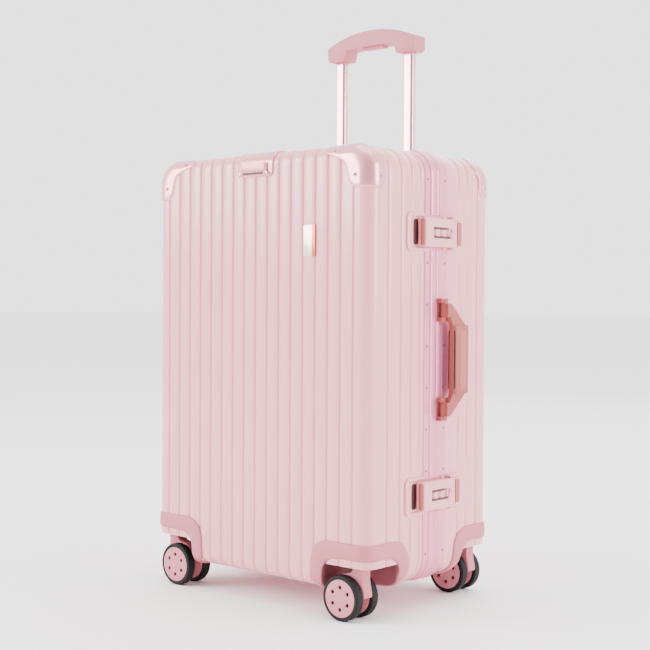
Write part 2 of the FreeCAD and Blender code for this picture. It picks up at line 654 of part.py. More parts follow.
def trolley_grip():
    """Arched grip with sockets over the inner tubes and a pocket for the button."""
    foot = TOP + GRIP_FOOT_UP
    end_z, top_z, under_z = foot + TROLLEY_END_UP, foot + TROLLEY_TOP, foot + TROLLEY_UNDER
    y0 = TUBE_Y - TROLLEY_DEEP / 2
    inner = TUBE_X - SOCKET_HALF

    def at(x, z):
        return Vector(x, y0, z)
    half_l, half_r = -TROLLEY_HALF, TROLLEY_HALF
    edges = [
        Part.makeLine(at(half_l, foot + 4), at(half_l, end_z)),
        Part.Arc(at(half_l, end_z), at(0, top_z), at(half_r, end_z)).toShape(),
        Part.makeLine(at(half_r, end_z), at(half_r, foot + 4)),
        Part.makeLine(at(half_r, foot + 4), at(half_r - 4, foot)),
        Part.makeLine(at(half_r - 4, foot), at(inner, foot)),
        Part.makeLine(at(inner, foot), at(inner - 4, under_z)),
        Part.Arc(at(inner - 4, under_z), at(0, under_z + 2), at(-inner + 4, under_z)).toShape(),
        Part.makeLine(at(-inner + 4, under_z), at(-inner, foot)),
        Part.makeLine(at(-inner, foot), at(half_l + 4, foot)),
        Part.makeLine(at(half_l + 4, foot), at(half_l, foot + 4)),
    ]
    shape = Part.Face(Part.Wire(edges)).extrude(Vector(0, TROLLEY_DEEP, 0))
    for sx in (1, -1):
        shape = shape.cut(tube_solid(sx * TUBE_X, INNER_TUBE, foot - 1, foot + 14, 0))
    return shape.cut(button_box(CLEAR / 2, BUTTON_TRAVEL + 0.5))


def button_box(clearance, above):
    """Space of the release button under the grip's middle."""
    under = TOP + GRIP_FOOT_UP + TROLLEY_UNDER
    half_x, half_y = BUTTON_LONG / 2 + clearance, BUTTON_WIDE / 2 + clearance
    low = under - BUTTON_OUT
    return box(-half_x, half_x, TUBE_Y - half_y, TUBE_Y + half_y, low, low + BUTTON_T + above)


# ---- hinges
def hinge(z, side):
    """One leaf with its knuckles; the rear leaf carries the pin."""
    ax = -HALF_W - HINGE_N
    third = HINGE_LONG / 3
    knuckles = [(z - HINGE_LONG / 2, z - third / 2 - 0.2), (z + third / 2 + 0.2, z + HINGE_LONG / 2)]
    if side < 0:
        knuckles = [(z - third / 2 + 0.2, z + third / 2 - 0.2)]
    leaf_x = -HALF_W - BAND_PROUD
    y_far = PARTING_Y + side * LEAF_W
    y_near = PARTING_Y + side * (HINGE_R + CLEAR)
    shape = box(leaf_x - LEAF_T, leaf_x, *sorted((y_near, y_far)), z - HINGE_LONG / 2, z + HINGE_LONG / 2)
    for z0, z1 in knuckles:
        shape = shape.fuse(rod(HINGE_R, (ax, PARTING_Y, z0), (ax, PARTING_Y, z1)))
        y0, y1 = sorted((PARTING_Y + side * 0.5, y_near + side))
        shape = shape.fuse(box(leaf_x - LEAF_T, leaf_x - 0.3, y0, y1, z0, z1))
    if side < 0:
        bore = rod(HINGE_PIN_R + RUNNING, (ax, PARTING_Y, z - HINGE_LONG), (ax, PARTING_Y, z + HINGE_LONG))
        return shape.cut(bore)
    low, high = z - HINGE_LONG / 2, z + HINGE_LONG / 2
    return shape.fuse(rod(HINGE_PIN_R, (ax, PARTING_Y, low), (ax, PARTING_Y, high)))


def hinges(side):
    """Both hinge leaves of one half."""
    return Part.makeCompound([hinge(z, side) for z in (BOTTOM + HINGE_FROM_END, TOP - HINGE_FROM_END)])


# ---- front fittings
def hook_plate():
    """Plate that wraps over the front's top edge, with two lugs for the bag hook."""
    skin = half_block(HOOK_PLATE_T, -1, -10).cut(half_block(0, -1, -10))
    half = HOOK_PLATE_W / 2
    wire = rounded_rect(-half, half, TOP - HOOK_PLATE_DOWN, TOP + 30, 7,
                        lambda u, v: Vector(u, -HALF_D - 9, v))
    plate = skin.common(Part.Face(wire).extrude(Vector(0, HOOK_PLATE_BACK + 9, 0)))
    y, z = hook_pivot()
    for s in (1, -1):
        x0, x1 = sorted((s * (HOOK_W / 2 + CLEAR), s * (HOOK_W / 2 + CLEAR + 3)))
        lug = box(x0, x1, y - 2, -HALF_D - HOOK_PLATE_T + 0.5, z - 2, z + 2)
        plate = plate.fuse(lug)
    return plate.fuse(rod(HOOK_PIN_R, (-HOOK_W / 2 - 2, y, z), (HOOK_W / 2 + 2, y, z)))


def hook_pivot():
    """Axis of the bag hook in Y and Z."""
    return -HALF_D - HOOK_PLATE_T - HOOK_PIVOT_OUT, TOP - HOOK_PLATE_DOWN + HOOK_PIVOT_UP


def bag_hook():
    """Small flap that turns down and out to hang a bag from."""
    y, z = hook_pivot()
    face = -HALF_D - HOOK_PLATE_T - HOOK_GAP
    flap = box(-HOOK_W / 2, HOOK_W / 2, face - HOOK_T, face, z, z + HOOK_H)
    flap = flap.fuse(rod(1.8, (-HOOK_W / 2, y, z), (HOOK_W / 2, y, z)))
    return flap.cut(rod(HOOK_PIN_R + RUNNING, (-HOOK_W, y, z), (HOOK_W, y, z)))


def badge():
    """Plain metal plate on the front."""
    z0 = TOP - BADGE_UNDER_TOP - BADGE_H / 2
    plate = box(BADGE_X - BADGE_W / 2, BADGE_X + BADGE_W / 2, -HALF_D - BADGE_T, -HALF_D, z0, z0 + BADGE_H)
    return plate


# ---- lining
def lining(side):
    """Fabric-covered liner tray of one half, open at the parting plane."""
    depth = HALF_D - WALL - LINING_FRONT_GAP if side < 0 else TUBE_Y - OUTER_TUBE[1] / 2 - LINING_FRONT_GAP
    back = side * depth
    edge = PARTING_Y + side * 1.5
    outer = prism(-LINING_IN, *sorted((back, edge)))
    inner = prism(-LINING_IN - LINING_T, *sorted((back - side * LINING_T, edge - side * 2)))
    tray = outer.cut(inner)
    for sx in (1, -1):
        tray = tray.cut(well(sx, side, WELL_R + WELL_WALL + CLEAR, WELL_TOP_Z + STEM_LONG + 5))
    return tray


def nodes():
    """Every node's name and shape."""
    made = {}
    for side, half in ((-1, "front"), (1, "rear")):
        made[half + "_shell"] = shell(side)
        made[half + "_frame"] = frame(side)
        made[half + "_rivets"] = rivets(side)
        made[half + "_corner_guards"] = corner_guards(side)
        made[half + "_caster_housings"] = caster_housings(side)
        made[half + "_hinge_leaves"] = hinges(side)
        made[half + "_lining"] = lining(side)
    made["frame_seal"] = seal_ring(0.0)
    for sx, sy, corner in CORNERS:
        made["caster_fork_" + corner] = fork(sx, sy)
        for face, place in ((-1, "a"), (1, "b")):
            tyre, hub = wheel(sx, sy, face)
            made["tyre_%s_%s" % (corner, place)] = tyre
            made["wheel_hub_%s_%s" % (corner, place)] = hub
    for z, level in zip(LATCH_ZS, ("upper", "lower")):
        made["lock_lever_" + level] = lever(z)
        made["lock_slider_" + level] = slider(z)
        for k in range(DIALS):
            made["lock_dial_%s_%d" % (level, k + 1)] = dial(z, k)
    made["lock_bases"] = Part.makeCompound([lock_base(z) for z in LATCH_ZS])
    made["latch_trays"] = Part.makeCompound([latch_tray(z) for z in LATCH_ZS])
    made["handle_brackets"] = Part.makeCompound([bracket(1), bracket(-1)])
    made["carry_handle"] = carry_handle()
    foot = BOTTOM + TUBE_FOOT
    made["outer_tubes"] = tubes(OUTER_TUBE, foot, TOP)
    made["middle_tubes"] = tubes(MIDDLE_TUBE, foot + 3, TOP + BEZEL_T - 0.5)
    made["inner_tubes"] = tubes(INNER_TUBE, TOP - INNER_LENGTH_IN, TOP + GRIP_FOOT_UP + 14)
    made["tube_bezel"] = bezel()
    made["trolley_grip"] = trolley_grip()
    made["release_button"] = button_box(0, 0)
    made["hook_plate"] = hook_plate()
    made["bag_hook"] = bag_hook()
    made["badge"] = badge()
    return made


def main():
    """Write one STEP file per node."""
    os.makedirs("parts", exist_ok=True)
    for name, shape in nodes().items():
        shape.translate(Vector(-ORIGIN_X, -ORIGIN_Y, 0))
        shape.exportStep("parts/%s.step" % name)
        print(name, len(shape.Solids), "solids", round(shape.Volume), shape.isValid())


main()
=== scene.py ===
"""Looks of a ribbed hard shell suitcase with an aluminium frame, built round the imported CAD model."""
import json
import logging
import math
from dataclasses import dataclass, field
from enum import Enum
from functools import lru_cache
from typing import Any, Iterable, Optional, Sequence

import bmesh
import bpy
import numpy as np
from mathutils import Matrix, Vector


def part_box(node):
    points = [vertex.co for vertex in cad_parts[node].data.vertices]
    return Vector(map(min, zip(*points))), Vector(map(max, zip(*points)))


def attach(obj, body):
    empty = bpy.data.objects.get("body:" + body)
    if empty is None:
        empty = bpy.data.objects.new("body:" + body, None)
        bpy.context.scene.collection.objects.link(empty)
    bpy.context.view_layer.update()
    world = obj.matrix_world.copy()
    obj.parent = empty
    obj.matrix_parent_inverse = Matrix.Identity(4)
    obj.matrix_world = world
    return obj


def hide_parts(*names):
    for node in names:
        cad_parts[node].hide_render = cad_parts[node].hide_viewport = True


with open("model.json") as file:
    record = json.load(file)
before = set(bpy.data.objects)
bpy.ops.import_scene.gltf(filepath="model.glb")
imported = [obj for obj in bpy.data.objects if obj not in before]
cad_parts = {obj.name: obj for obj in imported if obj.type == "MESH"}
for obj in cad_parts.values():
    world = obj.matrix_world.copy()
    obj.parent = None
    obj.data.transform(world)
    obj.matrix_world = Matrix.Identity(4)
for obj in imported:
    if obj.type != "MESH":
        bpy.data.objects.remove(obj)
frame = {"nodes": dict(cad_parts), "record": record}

LOG = logging.getLogger("suitcase")
MM = 0.001
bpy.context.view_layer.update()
Points = np.ndarray
Faces = list[tuple[int, ...]]


# ---------------------------------------------------------------- node and colour helpers
def linear(hex_colour: str, alpha: float = 1.0) -> tuple[float, float, float, float]:
    """Turn an sRGB hex colour into linear values.

    Args:
        hex_colour: Colour such as "#f0c0c8".
        alpha: Fourth value.

    Returns:
        Linear red, green, blue and alpha.
    """
    values = [int(hex_colour[i:i + 2], 16) / 255 for i in (1, 3, 5)]
    red, green, blue = (v / 12.92 if v <= 0.04045 else ((v + 0.055) / 1.055) ** 2.4 for v in values)
    return red, green, blue, alpha


def add_node(tree: bpy.types.NodeTree, kind: str, settings: Optional[dict[str, Any]] = None,
             inputs: Optional[dict[Any, Any]] = None) -> bpy.types.Node:
    """Add one node with its settings, its input values and its links.

    Args:
        tree: Tree that gets the node.
        kind: Blender's name of the node's type.
        settings: Attributes of the node.
        inputs: Input name or number to a value, or to the output socket that feeds it.

    Returns:
        The new node.
    """
    node = tree.nodes.new(kind)
    for key, value in (settings or {}).items():
        setattr(node, key, value)
    for key, value in (inputs or {}).items():
        if isinstance(value, bpy.types.NodeSocket):
            tree.links.new(value, node.inputs[key])
        else:
            node.inputs[key].default_value = value
    return node


# ---------------------------------------------------------------- finishes
class Grain(Enum):
    """How a surface was made, which sets its fine pattern."""

    MOULDED = "moulded"
    BRUSHED = "brushed"
    PEARL = "pearl"
    RUBBER = "rubber"
    WOVEN = "woven"
    PLATED = "plated"


@dataclass(frozen=True)
class Finish:
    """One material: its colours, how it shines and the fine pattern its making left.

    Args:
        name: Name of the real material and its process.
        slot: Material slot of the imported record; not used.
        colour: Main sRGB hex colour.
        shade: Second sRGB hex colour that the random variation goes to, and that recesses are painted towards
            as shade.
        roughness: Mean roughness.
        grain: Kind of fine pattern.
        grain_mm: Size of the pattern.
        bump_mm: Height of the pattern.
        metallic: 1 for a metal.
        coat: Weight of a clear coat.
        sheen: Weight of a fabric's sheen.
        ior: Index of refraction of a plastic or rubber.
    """

    name: str
    slot: str
    colour: str
    shade: str
    roughness: float
    grain: Grain = Grain.MOULDED
    grain_mm: float = 1.2
    bump_mm: float = 0.02
    metallic: float = 0.0
    coat: float = 0.0
    sheen: float = 0.0
    ior: float = 1.5

    def material(self) -> bpy.types.Material:
        """Build the material once and return it.

        Returns:
            The Blender material of this finish.
        """
        made = bpy.data.materials.get(self.name)
        if made:
            return made
        made = bpy.data.materials.new(self.name)
        made.use_nodes = True
        tree = made.node_tree
        tree.nodes.clear()
        where = add_node(tree, "ShaderNodeTexCoord").outputs["Object"]
        fine = self._pattern(tree, where)
        cloud = add_node(tree, "ShaderNodeTexNoise", {},
                         {"Vector": where, "Scale": 1 / (60 * MM), "Detail": 3.0})
        # Painted shade: this point attribute pulls the colour towards the shade colour in grooves, wells and
        # holes.
        recess_shade = add_node(tree, "ShaderNodeAttribute", {"attribute_name": "recess_shade"})
        drift = add_node(tree, "ShaderNodeMath", {"operation": "MULTIPLY_ADD"},
                         {0: cloud.outputs["Fac"], 1: 0.22, 2: -0.06})
        blend = add_node(tree, "ShaderNodeMath", {"operation": "ADD", "use_clamp": True},
                         {0: drift.outputs[0], 1: recess_shade.outputs["Fac"]})
        colour = add_node(tree, "ShaderNodeMix", {"data_type": "RGBA"},
                          {0: blend.outputs[0], 6: linear(self.colour), 7: linear(self.shade)})
        rough = add_node(tree, "ShaderNodeMapRange", {},
                         {0: fine, 3: max(0.02, self.roughness - 0.05), 4: min(1.0, self.roughness + 0.07)})
        bump = add_node(tree, "ShaderNodeBump", {},
                        {"Height": fine, "Distance": self.bump_mm * MM, "Strength": 1.0})
        shader = add_node(tree, "ShaderNodeBsdfPrincipled", {}, {
            "Base Color": colour.outputs[2], "Roughness": rough.outputs[0], "Normal": bump.outputs[0],
            "Metallic": self.metallic, "Coat Weight": self.coat, "Coat Roughness": 0.12,
            "Sheen Weight": self.sheen, "Sheen Roughness": 0.5})
        if not self.metallic:
            shader.inputs["IOR"].default_value = self.ior
        add_node(tree, "ShaderNodeOutputMaterial", {}, {"Surface": shader.outputs[0]})
        return made

    def _pattern(self, tree: bpy.types.NodeTree, where: bpy.types.NodeSocket) -> bpy.types.NodeSocket:
        """Add the fine pattern of this finish.

        Args:
            tree: The material's tree.
            where: Object coordinates.

        Returns:
            Output socket with values from 0 to 1.
        """
        scale = 1 / (self.grain_mm * MM)
        if self.grain is Grain.WOVEN:
            waves = [add_node(tree, "ShaderNodeTexWave", {"bands_direction": axis, "wave_profile": "SIN"},
                              {"Vector": where, "Scale": scale / 6.3, "Distortion": 0.4, "Detail": 1.0})
                     for axis in ("X", "Y", "Z")]
            first = add_node(tree, "ShaderNodeMath", {"operation": "MAXIMUM"},
                             {0: waves[0].outputs["Fac"], 1: waves[1].outputs["Fac"]})
            return add_node(tree, "ShaderNodeMath", {"operation": "MULTIPLY"},
                            {0: first.outputs[0], 1: waves[2].outputs["Fac"]}).outputs[0]
        if self.grain is Grain.BRUSHED:
            stretched = add_node(tree, "ShaderNodeMapping", {}, {"Vector": where, "Scale": (1.0, 14.0, 1.0)})
            return add_node(tree, "ShaderNodeTexNoise", {},
                            {"Vector": stretched.outputs[0], "Scale": scale / 14,
                             "Detail": 4.0}).outputs["Fac"]
        if self.grain is Grain.PEARL:
            flakes = add_node(tree, "ShaderNodeTexVoronoi", {"feature": "F1"},
                              {"Vector": where, "Scale": scale})
            return flakes.outputs["Distance"]
        detail = {Grain.MOULDED: 2.0, Grain.RUBBER: 5.0, Grain.PLATED: 1.0}[self.grain]
        return add_node(tree, "ShaderNodeTexNoise", {},
                        {"Vector": where, "Scale": scale, "Detail": detail}).outputs["Fac"]


# Polycarbonate film over ABS, vacuum formed: satin gloss with a faint orange peel. Its shade colour is also
# painted into the rib grooves as shade.
SHELL = Finish("vacuum_formed_polycarbonate", "shell", "#f09fa7", "#b54452", 0.22, Grain.MOULDED, 2.5, 0.03,
               coat=0.35, ior=1.58)
# Aluminium extrusion, fine satin and dyed pink in the anodising bath.
FRAME = Finish("anodised_aluminium_extrusion", "frame", "#ea8fb0", "#a83a76", 0.3, Grain.BRUSHED, 0.8, 0.01,
               metallic=0.6)
# Pressed steel caps under a pearl lacquer: strong soft highlights.
GUARD = Finish("pearl_lacquered_pressed_steel", "guard_metal", "#e99aa4", "#b05a68", 0.2, Grain.PEARL, 0.9,
               0.004, metallic=0.5, coat=0.6)
# Nylon with a spark-eroded mould texture: matte, a little darker than the shell. Its near-black shade colour
# is painted into the caster wells as shade.
HOUSING = Finish("textured_nylon_moulding", "housing", "#c6737f", "#45141f", 0.62, Grain.MOULDED, 0.8, 0.06)
# Moulded nylon hub; its near-black shade colour is painted into the blind holes as shade.
HUB = Finish("moulded_nylon_hub", "hub", "#cc7d88", "#1b080d", 0.5, Grain.MOULDED, 0.7, 0.04)
TYRE = Finish("polyurethane_wheel_tyre", "tyre", "#050306", "#020103", 0.72, Grain.RUBBER, 0.9, 0.03, ior=1.4)
STEEL = Finish("nickel_plated_rivet_steel", "steel", "#7b6a70", "#3d3238", 0.25, Grain.PLATED, 0.5, 0.003,
               metallic=1.0)
LATCH = Finish("satin_lacquered_zinc_casting", "latch", "#efa3a8", "#b04a52", 0.33, Grain.MOULDED, 0.9, 0.01,
               coat=0.3)
DIAL = Finish("moulded_acetal_dial", "dial", "#d8828a", "#7a2f3a", 0.35, Grain.MOULDED, 0.6, 0.01)
HANDLE = Finish("soft_touch_coated_handle", "handle", "#a04843", "#5f1f1c", 0.55, Grain.MOULDED, 0.7, 0.03)
# Smooth inlay of the lever rolls and the carry handle's grip; the same finish is painted shade on the strip
# behind each latch lever.
HANDLE_BAND_AND_SHADE = Finish("smooth_inlay_and_painted_shade", "handle", "#ad5650", "#7d302b", 0.35, Grain.MOULDED, 0.6, 0.01)
# Dark rubber of the strap buckle; the same finish is painted shade on the carry handle's front side and in
# the latches' finger slots.
DARK_RUBBER_AND_SHADE = Finish("dark_elastomer_and_painted_shade", "handle", "#3c1013", "#260709", 0.6, Grain.RUBBER, 0.8, 0.05, ior=1.52)
# Painted shade: dark sheets and dots that stand for the shade in slots, gaps and holes.
SHADOW_GAP = Finish("painted_shadow_gap", "dial", "#4a1d22", "#2c0f13", 0.5, Grain.MOULDED, 0.6, 0.01)
ROSE_INLAY = Finish("rose_lacquered_inlay", "guard_metal", "#d07f80", "#a55458", 0.3, Grain.PEARL, 0.7, 0.004,
                    metallic=0.4, coat=0.4)
GRIP = Finish("soft_touch_pull_grip", "grip", "#c2707c", "#8d404e", 0.5, Grain.MOULDED, 0.7, 0.03)
TUBE = Finish("anodised_drawn_tube", "tube", "#f2bcc9", "#c98296", 0.2, Grain.BRUSHED, 0.6, 0.005,
              metallic=0.8)
BADGE = Finish("plated_zinc_badge", "badge", "#f4dcc6", "#d8a48c", 0.22, Grain.PLATED, 0.6, 0.003,
               metallic=0.5)
COPPER = Finish("copper_plated_strip", "badge", "#c8644f", "#9a4535", 0.25, Grain.PLATED, 0.6, 0.003,
                metallic=0.7)
SEAL = Finish("extruded_rubber_seal", "seal", "#3a3236", "#221c20", 0.6, Grain.RUBBER, 0.8, 0.03, ior=1.52)
LINING = Finish("woven_polyester_lining", "lining", "#c79aa4", "#a3747f", 0.8, Grain.WOVEN, 1.6, 0.15,
                sheen=0.35)
WEBBING = Finish("woven_elastic_webbing", "lining", "#8f5f6b", "#6d424d", 0.75, Grain.WOVEN, 1.1, 0.2,
                 sheen=0.25)
THREAD = Finish("spun_polyester_thread", "lining", "#e6c5cb", "#c79aa4", 0.7, Grain.WOVEN, 0.4, 0.05,
                sheen=0.2)
FLOOR = Finish("matte_studio_paper", "shell", "#ffffff", "#fdfdfd", 0.9, Grain.MOULDED, 3.0, 0.0)


# ---------------------------------------------------------------- making pieces
def mark_edges(mesh: bpy.types.Mesh, crease_deg: float) -> None:
    """Smooth a mesh but for its sharp edges.

    Args:
        mesh: The mesh.
        crease_deg: Angle above which an edge stays sharp.
    """
    mesh.shade_smooth()
    mesh.set_sharp_from_angle(angle=math.radians(crease_deg))


def finish_piece(obj: bpy.types.Object, body: str, look: Finish, replaces: Sequence[str] = (),
                 crease_deg: Optional[float] = 38.0) -> bpy.types.Object:
    """Dress a finished mesh and tie it to its body.

    Args:
        obj: Piece with its place in its mesh.
        body: Body it moves with.
        look: Its finish.
        replaces: CAD nodes it stands for.
        crease_deg: Angle above which an edge stays sharp, or None when its edges are marked already.

    Returns:
        The same piece.
    """
    mesh = obj.data
    if crease_deg is not None:
        mark_edges(mesh, crease_deg)
    if look.material().name not in [m.name for m in mesh.materials if m]:
        mesh.materials.append(look.material())
    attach(obj, body)
    for node in replaces:
        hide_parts(node)
    LOG.info("%s: %d faces on %s", obj.name, len(mesh.polygons), body)
    return obj


def bare_object(name: str, points: Points, faces: Faces, recess_shade: Optional[Sequence[float]] = None,
                outward: bool = True) -> bpy.types.Object:
    """Make an object from points in millimetres, with no finish or body yet.

    Args:
        name: Name of the piece.
        points: Array of points.
        faces: Corner numbers of each face.
        recess_shade: How far each point is painted towards its shade colour, as shade in a recess, 0 to 1.
        outward: Whether the normals are worked out again, for a closed form with no inner wall.

    Returns:
        The object.
    """
    mesh = bpy.data.meshes.new(name)
    mesh.from_pydata([tuple(p * MM) for p in np.asarray(points, dtype=float)], [], faces)
    if recess_shade is not None:
        mesh.attributes.new("recess_shade", "FLOAT",
                            "POINT").data.foreach_set("value", np.asarray(recess_shade, dtype=float))
    work = bmesh.new()
    work.from_mesh(mesh)
    bmesh.ops.remove_doubles(work, verts=work.verts, dist=0.004 * MM)
    if outward:
        bmesh.ops.recalc_face_normals(work, faces=work.faces)
    work.to_mesh(mesh)
    work.free()
    obj = bpy.data.objects.new(name, mesh)
    bpy.context.scene.collection.objects.link(obj)
    return obj


def mesh_piece(name: str, points: Points, faces: Faces, body: str, look: Finish, replaces: Sequence[str] = (),
               recess_shade: Optional[Sequence[float]] = None, crease_deg: float = 38.0,
               outward: bool = True) -> bpy.types.Object:
    """Make a piece from points in millimetres.

    Args:
        name: Name of the piece.
        points: Array of points.
        faces: Corner numbers of each face.
        body: Body it moves with.
        look: Its finish.
        replaces: CAD nodes it stands for.
        recess_shade: How far each point is painted towards its shade colour, as shade in a recess, 0 to 1.
        crease_deg: Angle above which an edge stays sharp.
        outward: Whether the normals are worked out again, for a closed form with no inner wall.

    Returns:
        The piece.
    """
    return finish_piece(bare_object(name, points, faces, recess_shade, outward), body, look, replaces, crease_deg)


# A hub's blind holes lie in this ring about its axle, and begin this far under its faces (mm); their points
# are painted dark as shade.
HUB_HOLE_DEEP = 0.9
HUB_HOLES_FROM, HUB_HOLES_TO = 11.0, 18.0


def softened(node: str, body: str, look: Finish, edge_mm: float = 0.6, name: str = "",
             segments: int = 2) -> bpy.types.Object:
    """A CAD node's form with its edges rounded, standing for the node.

    Args:
        node: CAD node.
        body: Body it moves with.
        look: Its finish.
        edge_mm: Radius of the edges.
        name: Name of the piece; the node's own name with _soft when empty.
        segments: Steps across each rounded edge.

    Returns:
        The piece.
    """
    name = name or node + "_soft"
    mesh = frame["nodes"][node].data.copy()
    mesh.name = name
    mesh.materials.clear()
    work = bmesh.new()
    work.from_mesh(mesh)
    bmesh.ops.remove_doubles(work, verts=work.verts, dist=0.01 * MM)
    bmesh.ops.dissolve_limit(work, angle_limit=math.radians(1.0), verts=work.verts, edges=work.edges)
    sharp = [e for e in work.edges if len(e.link_faces) == 2 and e.calc_face_angle(0.0) > math.radians(38)]
    bmesh.ops.bevel(work, geom=sharp, offset=edge_mm * MM, segments=segments, profile=0.6, affect="EDGES",
                    clamp_overlap=True)
    work.to_mesh(mesh)
    work.free()
    # A hub's blind holes are painted dark as shade.
    if look is HUB:
        mesh.attributes.new("recess_shade", "FLOAT", "POINT").data.foreach_set("value", hub_hole_shade(node, mesh))
    obj = bpy.data.objects.new(name, mesh)
    bpy.context.scene.collection.objects.link(obj)
    return finish_piece(obj, body, look, (node,), 34.0)


def hub_hole_shade(node: str, mesh: bpy.types.Mesh) -> Points:
    """Mark the points of a hub that lie down in its ring of blind holes, where shade is painted.

    Args:
        node: CAD node of the hub.
        mesh: The hub's mesh, in metres.

    Returns:
        One for a point inside a hole, painted fully dark as shade, nought elsewhere.
    """
    low, high = box_mm(node)
    points = np.array([v.co for v in mesh.vertices]) / MM
    middle = (low + high) / 2
    around = np.hypot(points[:, 0] - middle[0], points[:, 2] - middle[2])
    deep = np.minimum(points[:, 1] - low[1], high[1] - points[:, 1]) > HUB_HOLE_DEEP
    return (deep & (around > HUB_HOLES_FROM) & (around < HUB_HOLES_TO)).astype(float)


@lru_cache(maxsize=None)
def box_mm(node: str) -> tuple[Points, Points]:
    """A CAD node's corners in millimetres.

    Args:
        node: CAD node.

    Returns:
        Its lowest and highest corner.
    """
    low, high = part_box(node)
    return np.array(low) / MM, np.array(high) / MM


@lru_cache(maxsize=None)
def joint_mm(name: str) -> Points:
    """A joint's place in millimetres.

    Args:
        name: Joint of the record.

    Returns:
        The place.
    """
    joint = next(j for j in frame["record"]["behaviour"]["joints"] if j["name"] == name)
    return np.array(joint["pos_m"]) / MM


def rings_to_faces(rings: int, around: int, closed_around: bool = True) -> Faces:
    """Quads between rings of points.

    Args:
        rings: Number of rings.
        around: Points in each ring.
        closed_around: Whether the last point joins the first.

    Returns:
        The faces.
    """
    last = around if closed_around else around - 1
    return [(i * around + j, i * around + (j + 1) % around, (i + 1) * around + (j + 1) % around,
             (i + 1) * around + j)
            for i in range(rings - 1) for j in range(last)]


def lathe(profile: Sequence[tuple[float, float]], centre: Points, axis: Points,
          steps: int = 48) -> tuple[Points, Faces]:
    """Turn a closed profile about an axis.

    Args:
        profile: (distance along the axis, radius) pairs, in order round the section.
        centre: Point on the axis.
        axis: Direction of the axis.
        steps: Steps round the axis.

    Returns:
        Points and faces of the turned form.
    """
    along = np.asarray(axis, dtype=float) / np.linalg.norm(axis)
    first = np.cross(along, (0.0, 0.0, 1.0) if abs(along[2]) < 0.9 else (1.0, 0.0, 0.0))
    first /= np.linalg.norm(first)
    second = np.cross(along, first)
    angles = np.linspace(0, 2 * math.pi, steps, endpoint=False)
    rings = [centre + along * a + first * (r * math.cos(t)) + second * (r * math.sin(t))
             for t in angles for a, r in profile]
    count = len(profile)
    faces = [(i * count + j, i * count + (j + 1) % count, ((i + 1) % steps) * count + (j + 1) % count,
              ((i + 1) % steps) * count + j) for i in range(steps) for j in range(count)]
    return np.array(rings), faces


